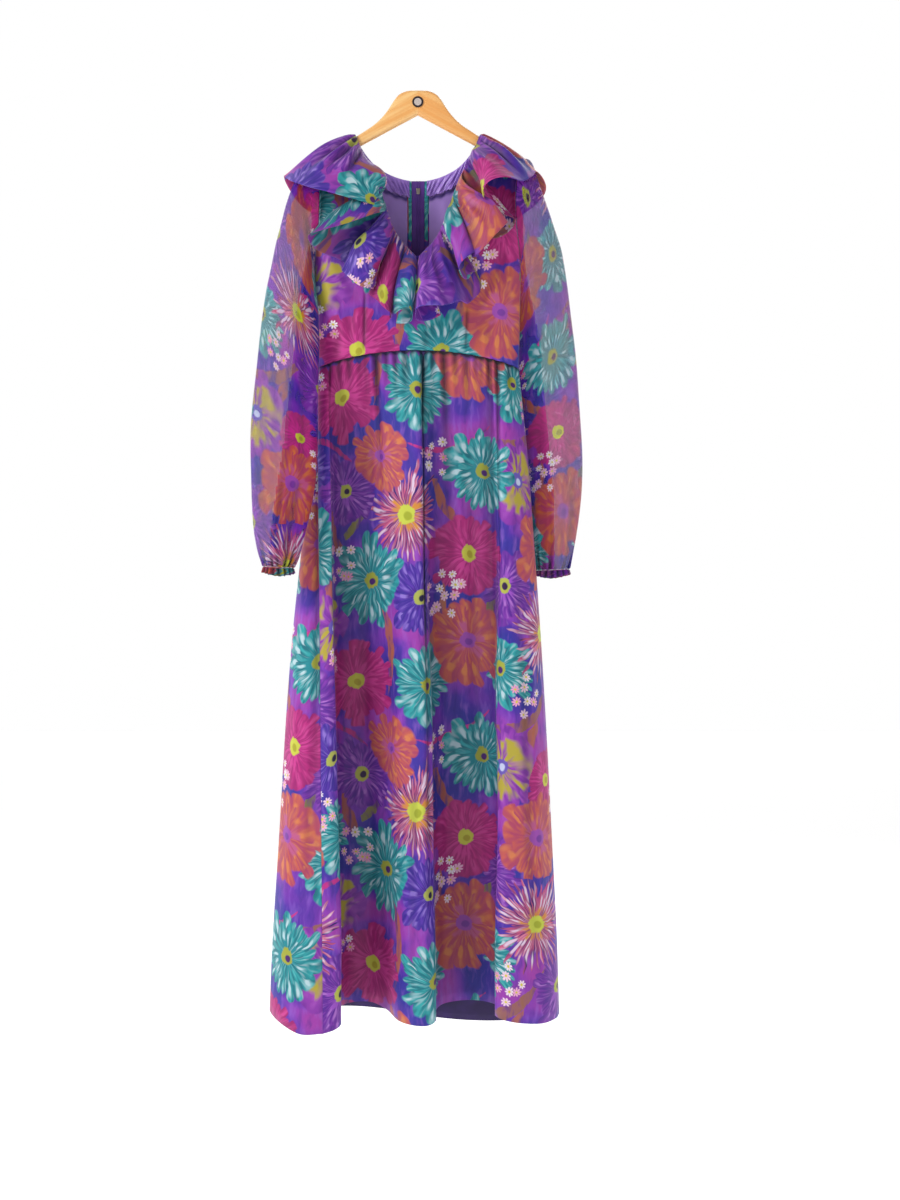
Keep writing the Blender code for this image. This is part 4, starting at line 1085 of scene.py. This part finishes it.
backCreases = [
    (40, -480, 56, -900, 9, 3.0), (-30, -560, -36, -1200, 10, -3.0), (100, -620, 122, -1300, 11, 3.2),
    (-92, -600, -120, -1300, 11, 3.0), (140, -700, 176, -1400, 10, -3.0),
    (-140, -700, -186, -1400, 10, -3.0), (-60, -900, -70, -1460, 9, 2.4), (70, -1000, 76, -1480, 9, -2.4),
    (-176, -800, -216, -1420, 9, 2.6), (-70, -1010, -20, -1120, 16, 1.8),
    (60, -1230, 130, -1330, 18, 2.0),
]


def waistPoint(x, back):
    x = np.clip(x, -bodice["waistHalf"], bodice["waistHalf"])
    start = bodice["backSlot"] if back else 0.0
    share = np.maximum(0.0, (np.abs(x) - start) / (bodice["waistHalf"] - start))
    sign = np.where(x < 0, -1.0, 1.0)
    points = bodicePoints(sign * np.minimum(np.maximum(share, tiny), 1.0), np.zeros_like(x), back)
    points[..., 0] = x * mm
    return points


def skirtPanel(name, folds, back, gathers, creases, offset):
    spans = len(folds) - 1
    hem = smoothRows(folds, np.linspace(0, spans, spans * skirt["stepsPerFold"] + 1))
    top = waistPoint(hem[:, 3], back)
    top[:, 2] -= skirt["seamGap"] * mm
    # closer rows near the gathers
    ringPlaces = np.linspace(0, 1, skirt["rows"]) ** skirt["rowCrowding"] * (len(skirtRings) - 1)
    rings = smoothRows(skirtRings, ringPlaces)
    down, flare, depth = (rings[:, k][:, None] for k in range(3))
    x = top[:, 0] + (hem[:, 0] * mm - top[:, 0]) * flare
    y = top[:, 1] + (hem[:, 1] * mm - top[:, 1]) * depth
    z = top[:, 2] + ((skirt["hem"] + hem[:, 2] * skirt["hemShape"]) * mm - top[:, 2]) * down
    points = np.stack([x, y, z], -1)[::-1]
    length = (top[:, 2].max() - z.min()) / mm
    fallen = (down[::-1] * length) + 0.001
    lift = np.zeros(points.shape[:2])
    for place, run, width, height in gathers:
        # a gather widens as it runs out
        spread = width * (1 + fallen / (run + 160.0))
        start = 0.45 + 0.55 * ease(fallen / 14.0)
        ridge = height * mm * bell((hem[None, :, 3] - place) / spread)
        lift += ridge * start * np.exp(-((fallen / run) ** 1.3))
    normals = sheetNormals(points)
    lift += creaseField(points[..., 0], points[..., 2], creases)
    sway = softNoise(points[..., 0] * 8, points[..., 2] * 3.0, 11 + len(folds))
    lift += skirt["sway"] * mm * sway * ease(fallen / skirt["swayFrom"])
    ends = np.linspace(0, 1, points.shape[1])
    fadeEnds = ease(ends / 0.03) * ease((1 - ends) / 0.03)
    uvs = clothCoordinates(points, points.shape[1] // 2, offset)
    points = points + normals * (lift * fadeEnds[None, :])[..., None]
    # the gathered cloth is wider than its seam, so the print draws together towards the waist
    gatherShare = 1 + skirt["gathered"] * np.exp(-((fallen / skirt["gatheredTo"]) ** 1.2))
    uvs[..., 0] = offset[0] + (uvs[..., 0] - offset[0]) * gatherShare
    # painted shade along the seam, where it lies in shadow under the bodice's edge, added to the painted fold
    # shade
    shade = np.minimum(foldShade(points) + 0.5 * bell(fallen / skirt["seamShade"]), 1.0)
    return newSheet(name, points, uvs, printCloth, skirt["wall"], shade=shade)


leftGathers = [(-place, *rest) for place, *rest in backGathers]
for name, node, folds, gathers, creases, offset, flat, area in (
    ("Front", "front", frontFolds, frontGathers, skirtCreases, (0.48, 0.0), (0.78, 1.08), 0.62),
    ("BackRight", "back_right", backRightFolds, backGathers, backCreases, (0.12, 0.13), (0.34, 1.08), 0.27),
    ("BackLeft", "back_left", backLeftFolds, leftGathers, backCreases, (0.44, 0.30), (0.50, 1.08), 0.35),
):
    panel = skirtPanel("skirt" + name, folds, name != "Front", gathers, creases, offset)
    finishSheet(panel, ["skirt_" + node])
print("skirt made")


# Skirt lining: a flat tube between the front's recesses and the back.
liningTube = {
    "sides": 112, "rows": 90, "drop": 9.0, "leftLift": 1.7, "wall": 0.8, "shareX": 0.975, "shareY": 0.94,
    "shift": 2.0, "seamGap": 1.2, "ripple": 0.8,
}
liningRows = [
    (-480, 144, -6, 25), (-538, 138, 8, 35), (-738, 150, 17, 44), (-1038, 165, 23, 50),
    (-1338, 178, 26, 56), (-1504, 184, 28, 59),
]


def liningRings():
    angle = 2 * math.pi * np.arange(liningTube["sides"] + 1) / liningTube["sides"]
    cos, sin = np.cos(angle), np.sin(angle)
    waistX = blunt(cos, 0.33) * bodice["waistHalf"]
    top = np.where((sin > 0)[:, None], waistPoint(waistX, True), waistPoint(waistX, False))
    top = top * (liningTube["shareX"], liningTube["shareY"], 1.0)
    top[:, 2] -= liningTube["seamGap"] * mm
    rings = [top]
    across, through = blunt(cos, 0.5), blunt(sin, 0.7)
    for z, half, front, back in liningRows:
        x = half * across + liningTube["shift"]
        y = (front + back) / 2 + (back - front) / 2 * through
        rings.append(np.stack([x, y, np.full_like(x, z)], -1) * mm)
    # the hem hangs lower at the right than at the left
    uneven = liningTube["drop"] * np.sin(0.8 * math.pi * across)
    uneven = uneven * np.where(across < 0, liningTube["leftLift"], 1.0)
    rings[-1][:, 2] = (liningRows[-1][0] - uneven) * mm
    return np.array(rings)


points = smoothRows(liningRings(), np.linspace(0, len(liningRows), liningTube["rows"]))[::-1]
ripple = softNoise(points[..., 0] * 12, points[..., 2] * 3, 5) * ease((points[..., 2] + 0.44) / -0.1)
points[..., 1] += liningTube["ripple"] * mm * ripple
points[:, -1] = points[:, 0]
uvs = clothCoordinates(points, 0, (0.0, 0.0))
skirtLining = newSheet("skirtLining", points, uvs, hemLiningCloth, liningTube["wall"], tube=True)
finishSheet(
    skirtLining, ["skirt_lining"]
)
print("skirt lining made")


# Sleeves: rings from armhole to wrist, by their outer and inner edge.
sleeve = {
    "sides": 24, "fineSides": 120, "rows": 130, "rowCrowding": 1.05, "roundness": 0.7, "seam": 1.5,
    "wall": 0.6, "wristGather": 2.2, "capGather": 1.2, "sway": 1.4,
}
sleeveLeft = [
    (-184, -116, -167, -290, -3, 23), (-198, -152, -165, -310, -11, 24),
    (-212, -200, -162, -342, -23, 24), (-226, -263, -159, -386, -36, 23),
    (-240, -338, -157, -438, -50, 22), (-253, -438, -156, -508, -63, 22),
    (-262, -548, -157, -583, -72, 21), (-262, -638, -162, -650, -78, 20),
    (-257, -700, -171, -706, -80, 19), (-249, -746, -183, -750, -80, 18),
    (-241, -772, -195, -774, -80, 14),
]
sleeveRight = [
    (184, -116, 164, -290, 4, 23), (199, -154, 161, -310, 12, 24), (216, -203, 160, -342, 21, 24),
    (232, -263, 161, -386, 27, 24), (247, -338, 161, -438, 30, 24), (260, -438, 167, -508, 32, 24),
    (267, -548, 177, -583, 33, 23), (267, -638, 183, -650, 33, 22), (263, -700, 187, -706, 32, 20),
    (255, -746, 190, -750, 31, 18), (246, -774, 194, -776, 30, 14),
]
sleeveFoldsLeft = [
    # soft hanging folds
    (-196, -300, -212, -590, 7, 3.2), (-212, -590, -226, -720, 6, 2.6), (-176, -400, -178, -640, 8, -3.0),
    (-236, -360, -246, -660, 9, -2.6), (-222, -240, -236, -480, 8, 2.4),
    (-188, -180, -186, -330, 8, -2.4), (-204, -640, -214, -756, 5, 2.6), (-234, -660, -226, -760, 5, 2.6),
    (-248, -620, -238, -752, 6, -2.4), (-184, -640, -204, -752, 5, -2.4),
]
sleeveFoldsRight = [
    (176, -295, 198, -400, 7, 3.0), (198, -400, 205, -510, 7, 3.2), (205, -510, 221, -750, 7, 3.0),
    (240, -360, 250, -680, 9, -2.8), (226, -240, 240, -480, 8, 2.4), (190, -180, 188, -330, 8, -2.4),
    (212, -640, 222, -758, 5, -2.4), (246, -660, 236, -764, 5, 2.6), (256, -620, 246, -756, 6, -2.4),
]
sleeveFoldLines = {
    # where each sleeve's inner fold line lies: across, and down from the top
    -1: [(-170, 240), (-186, 330), (-197, 468), (-210, 593), (-222, 672), (-230, 740), (-236, 790)],
    1: [(170, 240), (175, 295), (198, 407), (206, 507), (217, 616), (221, 663), (222, 760), (222, 790)],
}


def armholeRing(side):
    half = sleeve["sides"] // 2
    steps = np.arange(sleeve["sides"])
    front = steps <= half
    share = np.where(front, steps, sleeve["sides"] - steps) / half
    v = 1 - (1 - bodice["underarmShare"]) * share
    edges = [bodicePoints(side * np.ones_like(v), v, back) for back in (False, True)]
    ring = np.where(front[:, None], *edges)
    ring[[0, half], 1] = 0.0
    ring[:, 0] += side * sleeve["seam"] * mm
    return ring


def sleeveRing(row):
    outX, outZ, inX, inZ, midY, halfY = row
    outer, inner = np.array([outX, midY, outZ], float), np.array([inX, midY, inZ], float)
    angle = 2 * math.pi * np.arange(sleeve["sides"]) / sleeve["sides"]
    ring = (outer + inner) / 2 + (outer - inner) / 2 * np.cos(angle)[:, None]
    ring[:, 1] -= halfY * blunt(np.sin(angle), sleeve["roundness"])
    return ring * mm


def closedSmooth(rings, count):
    # finer rings: a smooth closed curve through each ring's points
    sides = rings.shape[1]
    looped = np.concatenate([rings[:, -2:], rings, rings[:, :3]], axis=1)
    places = np.linspace(0, sides, count + 1) + 2
    fine = smoothRows(looped.transpose(1, 0, 2), places)
    return fine.transpose(1, 0, 2)


def makeSleeve(side, rows, folds, name, offset):
    rings = np.array([armholeRing(side)] + [sleeveRing(row) for row in rows])
    if side > 0:
        rings = np.concatenate([rings[:, :1], rings[:, :0:-1]], axis=1)
    fine = closedSmooth(rings, sleeve["fineSides"])
    share = np.linspace(0, 1, sleeve["rows"]) ** sleeve["rowCrowding"]
    points = smoothRows(fine, share * (len(rings) - 1))[::-1]
    share = share[::-1][:, None]
    normals = sheetNormals(points)
    normals[:, 0] = normals[:, -1] = (normals[:, 0] + normals[:, -1]) / 2
    angle = np.linspace(0, 2 * math.pi, points.shape[1])[None, :]
    lift = creaseField(points[..., 0], points[..., 2], folds)
    # gathers run up from the wrist and a little down from the shoulder
    nearWrist = np.exp(-(((1 - share) / 0.075) ** 1.2)) * ease((1 - share) / 0.004 + 0.4)
    pleats = np.sin(15 * angle + 0.8 * np.sin(3 * angle)) + 0.5 * np.sin(23 * angle + 1.3)
    lift += sleeve["wristGather"] * mm * pleats * nearWrist
    cap = np.exp(-((share / 0.10) ** 1.2)) * ease(share / 0.02)
    lift += sleeve["capGather"] * mm * np.sin(11 * angle + 0.7) * cap * (np.cos(angle) > 0)
    sway = softNoise(points[..., 0] * 14, points[..., 2] * 6, 21 + side)
    lift += sleeve["sway"] * mm * sway * ease(share / 0.1) * ease((1 - share) / 0.08)
    points = points + normals * lift[..., None]
    points[:, -1] = points[:, 0]
    around = arcAlong(points, 1)
    # the cut is widest above the wrist, and the gathers take it in
    widest = around[:, -1].max()
    around = around / around[:, -1:] * (0.35 * widest + 0.65 * np.maximum(around[:, -1:], 0.6 * widest))
    up = arcAlong(points, 0)[:, 0]
    uvs = np.stack([around + offset[0], np.broadcast_to(up[:, None], around.shape) + offset[1]], -1)
    made = newSheet("sleeve" + name, points, uvs, sheerCloth, sleeve["wall"], tube=True)
    # towards the body the sleeve is folded over, two layers thick
    made.data.materials.append(doubledCloth)
    line = np.array(sleeveFoldLines[side])
    for face in made.data.polygons:
        edge = np.interp(-face.center.z / mm, line[:, 1], line[:, 0])
        face.material_index = 1 if side * face.center.x / mm < side * edge else 0
    nodes = ["sleeve_" + name.lower()]
    finishSheet(made, nodes)
    return rings[-1]


wrist = {
    "height": 12.0, "puckers": 17, "depth": 2.4, "gap": 0.7, "perPucker": 8, "rows": 16, "wall": 0.6,
    "sag": 5.0, "frill": 0.5, "gathered": 1.8,
}
# how far the casing swells, from its seam to its edge
cuffSwell = [(0, 0.1), (0.2, 0.9), (0.45, 0.7), (0.75, 0.8), (1.0, 1.4)]


def makeCuff(last, name):
    # an elastic casing, ruched all round, with a small frill of gathers at its edge
    count = wrist["puckers"] * wrist["perPucker"]
    ring = closedSmooth(last[None], count)[0]
    middle = ring[:-1].mean(axis=0)
    out = ring - middle
    out[:, 2] = 0
    out /= np.linalg.norm(out, axis=1, keepdims=True)
    angle = np.linspace(0, 2 * math.pi, count + 1)
    share = np.linspace(0, 1, wrist["rows"])[:, None]
    swell = np.interp(share[:, 0], *zip(*cuffSwell))[:, None]
    ruche = np.cos(wrist["puckers"] * angle + 1.1 * np.sin(2 * angle)) + 0.4 * np.sin(7 * angle)
    pucker = wrist["depth"] * swell * ruche[None, :]
    roll = 0.9 * hump(share) - 0.6 * np.sin(2 * math.pi * share)
    points = ring[None] + out[None] * ((pucker + roll) * mm)[..., None]
    points[..., 2] -= (wrist["gap"] + wrist["height"] * share) * mm
    # its lower edge hangs lowest in the middle
    beside = np.abs(ring[:, 0] - middle[0]) / np.abs(ring[:, 0] - middle[0]).max()
    points[..., 2] += wrist["sag"] * mm * (beside**2 - 0.35)[None, :] * share
    points[..., 2] += wrist["frill"] * mm * share * np.sin(wrist["puckers"] * angle + 1.0)[None, :]
    points = points[::-1].copy()
    points[:, -1] = points[:, 0]
    uvs = clothCoordinates(points, 0, (0.3, 0.1))
    uvs[..., 0] *= wrist["gathered"]
    cuff = newSheet("cuff" + name, points, uvs, cuffCloth, wrist["wall"], tube=True)
    nodes = ["wrist_casing_" + name.lower()]
    finishSheet(cuff, nodes)


for side, rows, folds, name, offset in (
    (-1, sleeveLeft, sleeveFoldsLeft, "Left", (0.02, 0.16)),
    (1, sleeveRight, sleeveFoldsRight, "Right", (0.33, 0.03)),
):
    makeCuff(makeSleeve(side, rows, folds, name, offset), name)
print("sleeves made")


# Neck ruffle: where each bend of its hem lies. Share is along the neck seam, from centre back (0)
# over the shoulder (1) to centre front (2).
ruffle = {
    "columns": 440, "rows": 36, "wall": 0.8, "cutWidth": 0.105, "innerRadius": 0.085, "middle": 3.2,
    "edge": 2.2, "rounding": (9, 3.0), "winding": (48, 22.0), "flute": 0.62, "stand": 11.0, "shoulder": -7.0,
    "backStand": 0.15, "curl": 6.0, "fan": 1.1,
}
ruffleBack = [
    (0.00, -6, 36, -256), (0.04, -9, 56, -262), (0.10, -30, 64, -262), (0.16, -48, 58, -258),
    (0.20, -52, 40, -252), (0.24, -48, 37, -249), (0.30, -62, 60, -256), (0.38, -86, 65, -250),
    (0.44, -99, 55, -242), (0.47, -99, 40, -238), (0.51, -98, 38, -236), (0.56, -112, 58, -236),
    (0.64, -134, 65, -222), (0.70, -153, 55, -208), (0.73, -154, 42, -202), (0.77, -158, 40, -198),
    (0.82, -172, 54, -190), (0.90, -194, 50, -174), (0.96, -210, 32, -154),
]
ruffleFrontLeft = [
    (1.0, -218, 6, -142), (1.01, -217, -18, -139), (1.03, -207, -45, -155), (1.07, -188, -66, -170),
    (1.12, -166, -76, -180), (1.17, -141, -80, -186), (1.22, -113, -83, -192), (1.27, -84, -80, -196),
    (1.31, -59, -70, -199), (1.335, -48, -54, -204), (1.35, -52, -58, -212), (1.37, -63, -74, -217),
    (1.41, -104, -90, -231), (1.45, -152, -90, -240), (1.48, -175, -78, -245), (1.5, -174, -64, -255),
    (1.52, -163, -54, -268), (1.545, -141, -49, -276), (1.57, -119, -47, -282), (1.59, -121, -62, -292),
    (1.61, -123, -80, -302), (1.64, -111, -89, -311), (1.68, -97, -92, -327), (1.71, -86, -91, -335),
    (1.735, -75, -82, -336), (1.75, -70, -60, -331), (1.765, -72, -54, -339), (1.78, -72, -66, -346),
    (1.8, -60, -80, -355), (1.825, -54, -88, -368), (1.845, -50, -90, -372), (1.865, -43, -84, -373),
    (1.875, -40, -62, -373), (1.885, -45, -60, -381), (1.895, -45, -76, -381), (1.91, -38, -92, -372),
    (1.935, -22, -98, -364), (1.96, -8, -94, -362), (1.975, -4, -76, -373), (1.985, -8, -60, -385),
    (1.99, -25, -51, -385), (2.0, -38, -46, -383),
]
ruffleFrontRight = [
    (1.0, 206, 6, -138), (1.01, 194, -18, -129), (1.03, 187, -42, -143), (1.07, 177, -60, -155),
    (1.11, 167, -68, -164), (1.13, 164, -72, -166), (1.16, 143, -88, -165), (1.2, 120, -94, -170),
    (1.23, 109, -86, -179), (1.25, 110, -68, -190), (1.27, 124, -56, -203), (1.29, 138, -50, -212),
    (1.32, 157, -46, -223), (1.34, 136, -50, -244), (1.355, 118, -56, -248), (1.37, 134, -68, -237),
    (1.39, 146, -82, -227), (1.43, 127, -92, -251), (1.47, 106, -94, -278), (1.5, 94, -88, -290),
    (1.52, 90, -76, -282), (1.54, 93, -86, -279), (1.57, 79, -96, -289), (1.6, 63, -94, -303),
    (1.63, 69, -82, -322), (1.65, 80, -68, -321), (1.67, 88, -58, -303), (1.69, 93, -50, -317),
    (1.71, 103, -47, -331), (1.73, 88, -52, -348), (1.76, 77, -60, -359), (1.785, 66, -76, -353),
    (1.8, 59, -82, -361), (1.83, 41, -90, -366), (1.86, 39, -96, -368), (1.9, 18, -99, -367),
    (1.94, 1, -94, -368), (1.96, -2, -78, -373), (1.975, -6, -62, -382), (1.985, 2, -54, -384),
    (1.992, 20, -49, -382), (2.0, 40, -46, -371),
]
ruffleDents = {
    # along the neck seam, from the seam out, half width, half depth, height
    -1: [(1.02, 0.4, 0.012, 0.32, 4.0), (1.045, 0.42, 0.010, 0.34, -6.0), (1.075, 0.38, 0.012, 0.3, 4.5),
         (1.10, 0.34, 0.011, 0.26, -5.5), (1.14, 0.30, 0.016, 0.22, 4.0), (1.20, 0.30, 0.014, 0.24, -4.0)],
    1: [(1.025, 0.45, 0.012, 0.34, -4.5), (1.055, 0.5, 0.012, 0.3, 3.5), (1.085, 0.42, 0.010, 0.3, -4.5),
        (1.12, 0.36, 0.014, 0.26, 3.5), (1.22, 0.34, 0.014, 0.24, -4.0), (0.93, 0.45, 0.05, 0.4, -7.0)],
}


def neckEdge(share, side):
    # the neck seam: 0 at centre back, 1 on the shoulder, 2 at centre front
    level, half = np.ones_like(share), bodice["neckShare"]
    back = bodicePoints(-np.maximum(half * np.clip(share, 0, 1), tiny), level, True)
    front = bodicePoints(-half * np.clip(2 - share, 0, 1) - 1e-9, level, False)
    points = np.where((share < 1)[:, None], back, front)
    points[:, 0] = np.minimum(points[:, 0], -ruffle["middle"] * mm) * -side
    return points


def edgeFacing(start, side):
    out = np.minimum(1.0, np.abs(start[:, 1]) / (bodice["shoulderRound"] * mm))
    up = np.sqrt(1 - out**2)
    slant = math.atan(bodice["shoulderSlope"])
    return np.stack([side * math.sin(slant) * up, np.copysign(out, start[:, 1]), math.cos(slant) * up], -1)


def averaged(rows, reach, spread):
    # each row is averaged with its neighbours, up to reach rows away
    steps = np.arange(-reach, reach + 1)
    weights = np.exp(-((steps / spread) ** 2) / 2)
    weights /= weights.sum()
    padded = np.concatenate([np.repeat(rows[:1], reach, 0), rows, np.repeat(rows[-1:], reach, 0)])
    return sum(w * padded[reach + s : reach + s + len(rows)] for s, w in zip(steps, weights))


def makeRuffle(side, front, name, offset, turns, startTurn, spills):
    rows = np.array([(s, x * -side, y, z) for s, x, y, z in ruffleBack] + front, float)
    steps = np.linalg.norm(np.diff(rows[:, 1:], axis=0), axis=1)
    length = np.concatenate([[0], np.cumsum(steps)])
    even = np.linspace(0, length[-1], ruffle["columns"])
    hem = smoothRows(rows, np.interp(even, length, np.arange(len(rows))))
    hem = averaged(hem, *ruffle["rounding"])
    share = np.clip(hem[:, 0], 0, 2)
    start = neckEdge(share, side)
    facing = edgeFacing(start, side)
    start = start + facing * ruffle["edge"] * mm
    end = hem[:, 1:] * mm
    # outward is away from the body's middle line
    behind = np.where(share < 1, 1.0, -1.0) * np.clip(np.abs(share - 1) * 9, 0.0, 1.0)
    upward = 1.2 * bell((share - 1) / 0.16) + 0.12
    outward = np.stack([0.1 * side * np.ones_like(share), behind, upward], -1)
    outward /= np.linalg.norm(outward, axis=1, keepdims=True)
    across = np.linspace(0, 1, ruffle["rows"]) ** 0.9
    t = across[:, None, None]
    # the line that the hem winds about; the flutes swell out from it soon below the seam
    middleLine = averaged(end, *ruffle["winding"])
    points = start[None] * (1 - t) + middleLine[None] * t + (end - middleLine)[None] * t ** ruffle["flute"]
    # near the seam the cloth stands out before it falls
    shoulder = ruffle["shoulder"] * bell((share - 1.0) / 0.12)
    lift = (hump(across**0.8) ** 1.4)[:, None] * (ruffle["stand"] + shoulder)[None, :]
    lift = lift * (ruffle["backStand"] + (1 - ruffle["backStand"]) * ease((share - 0.95) / 0.07))[None, :]
    # soft dents where the cloth crumples on the shoulder
    for place, middle, wide, deep, high in ruffleDents[side]:
        dent = bell((share - place) / wide)[None, :] * bell((across - middle) / deep)[:, None]
        lift = lift + high * dent * ease(across / 0.1)[:, None]
    points = points + outward[None] * (lift * mm)[..., None]
    # some flutes spill over the neck's edge
    spill = sum(high * bell((share - place) / wide) for place, wide, high in spills)
    points[..., 0] -= side * mm * spill[None, :] * hump(np.clip(across / 0.62, 0, 1))[:, None]
    # the hem curls a little, out on some flutes and in on others
    run = np.gradient(end, axis=0)
    run /= np.maximum(np.linalg.norm(run, axis=1, keepdims=True), 1e-9)
    sideways = np.cross(run, end - start)
    sideways /= np.maximum(np.linalg.norm(sideways, axis=1, keepdims=True), 1e-9)
    curl = ruffle["curl"] * np.sin(even * 24.0 / 1000 + side) * mm
    nearHem = (ease((across - 0.55) / 0.45) ** 2)[:, None]
    points = points + sideways[None] * (curl[None, :] * nearHem)[..., None]
    # soft creases run from the seam out into the flutes
    along = even / even[-1]
    fan = ruffle["fan"] * np.sin(along * 2 * math.pi * 37 + 2.0 * np.sin(along * 21)) * mm
    points = points + sideways[None] * (fan[None, :] * (hump(across) ** 1.5)[:, None])[..., None]
    # small gathers at the seam
    gather = 1.1 * np.sin(along * 2 * math.pi * 46) + 0.6 * np.sin(along * 2 * math.pi * 29 + 1)
    nearSeam = bell(across / 0.3) * ease(across / 0.05)
    points = points + facing[None] * (gather[None, :] * nearSeam[:, None] * mm)[..., None]
    points = points[::-1] if side < 0 else points[::-1, ::-1]
    turn = along * turns + startTurn
    turn = (turn if side < 0 else turn[::-1])[None, :]
    radius = (ruffle["innerRadius"] + ruffle["cutWidth"] * across)[::-1, None]
    uvs = np.stack([radius * np.cos(turn) + offset[0], radius * np.sin(turn) + offset[1]], -1)
    made = newSheet("ruffle" + name, points, uvs, ruffleCloth, ruffle["wall"])
    nodes = ["ruffle_" + name.lower()]
    finishSheet(made, nodes)


# where each half was cut: its centre on the cloth, how far round it runs, where it starts;
# and where its flutes spill over the neck's edge
for side, front, name, offset, turns, startTurn, spills in (
    (-1, ruffleFrontLeft, "Left", (0.40, 0.34), 7.0, 0.0,
     [(1.13, 0.05, 9), (1.31, 0.06, 16), (1.55, 0.07, 12), (1.8, 0.05, 6)]),
    (1, ruffleFrontRight, "Right", (0.08, 0.16), 6.4, 5.76,
     [(1.18, 0.05, 9), (1.40, 0.06, 18), (1.62, 0.05, 8), (1.84, 0.05, 6)]),
):
    makeRuffle(side, front, name, offset, turns, startTurn, spills)
print("ruffles made")


# Hard pieces keep their CAD shape and take their finish.
for node, look in (("zip_slider", metalLook), ("zip_pull", metalLook), ("hanger_badge", badgeLook)):
    paint(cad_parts[node], look)


# Studio: pale floor, soft light, and the camera.
studio = {
    "floor": -1.72, "floorSize": 40.0, "floorGlow": 0.35, "world": 0.34,
    "backdrop": 9.0, "backdropSize": 60.0, "backdropGlow": 1.0,
}
white = (1.0, 1.0, 1.0, 1.0)


def stagePlane(name, lookName, size, **place):
    # a large plane with a look of its own, still to be filled in
    deselectAll()
    bpy.ops.mesh.primitive_plane_add(size=size, **place)
    plane = bpy.context.object
    plane.name = name
    look, desk, shader = newMaterial(lookName)
    plane.data.materials.append(look)
    return plane, desk, shader


below, behind = (0, 0, studio["floor"]), (0, studio["backdrop"], 0)
floor, desk, shader = stagePlane("studioFloor", "paleFloor", studio["floorSize"], location=below)
tone = desk.noise(desk.add("ShaderNodeTexCoord").outputs["Object"], 2.0, 2.0)[0]
desk.fill(shader, {
    "Base Color": desk.mix(tone, tint("FEFEFE"), tint("FCFCFC")), "Roughness": 0.9,
    "Emission Color": white, "Emission Strength": studio["floorGlow"],
})

world = bpy.data.worlds.new("softStudio")
world.use_nodes = True
bpy.context.scene.world = world
background = world.node_tree.nodes["Background"]
NodeDesk(world.node_tree).fill(background, {"Color": white, "Strength": studio["world"]})


def putInScene(name, data, location):
    made = bpy.data.objects.new(name, data)
    bpy.context.scene.collection.objects.link(made)
    made.location = location
    return made


softLights = {
    # where it stands, where it points, width and height, power
    "keyLight": ((-2.4, -2.0, 0.9), (0, 0, -0.75), (1.0, 1.6), 62.0),
    "fillLight": ((2.6, -2.4, -0.4), (0, 0, -0.8), (1.8, 2.2), 8.0),
    "backLight": ((0.6, 2.2, 0.8), (0, 0, -0.7), (2.0, 2.0), 26.0),
}
for name, (location, target, size, power) in softLights.items():
    light = bpy.data.lights.new(name, "AREA")
    light.shape = "RECTANGLE"
    light.size, light.size_y = size
    light.energy = power
    lamp = putInScene(name, light, location)
    aim = np.array(target) - np.array(location)
    lamp.rotation_euler = Vector(aim).to_track_quat("-Z", "Y").to_euler()

# a lit white backdrop behind the dress
upright = (math.pi / 2, 0, 0)
backdrop, desk, shader = stagePlane(
    "studioBackdrop", "litBackdrop", studio["backdropSize"], location=behind, rotation=upright
)
desk.fill(shader, {
    "Base Color": (0.0, 0.0, 0.0, 1.0), "Emission Color": white,
    "Emission Strength": studio["backdropGlow"], "Specular IOR Level": 0.0,
})

camera = bpy.data.cameras.new("studioCamera")
camera.sensor_fit = "AUTO"
camera.sensor_width = 36.0
camera.lens = 51.87
viewer = putInScene("studioCamera", camera, (0.052, -2.8, -0.825))
viewer.rotation_euler = upright
bpy.context.scene.camera = viewer
bpy.context.scene.view_settings.view_transform = "Standard"

print("scene ready")
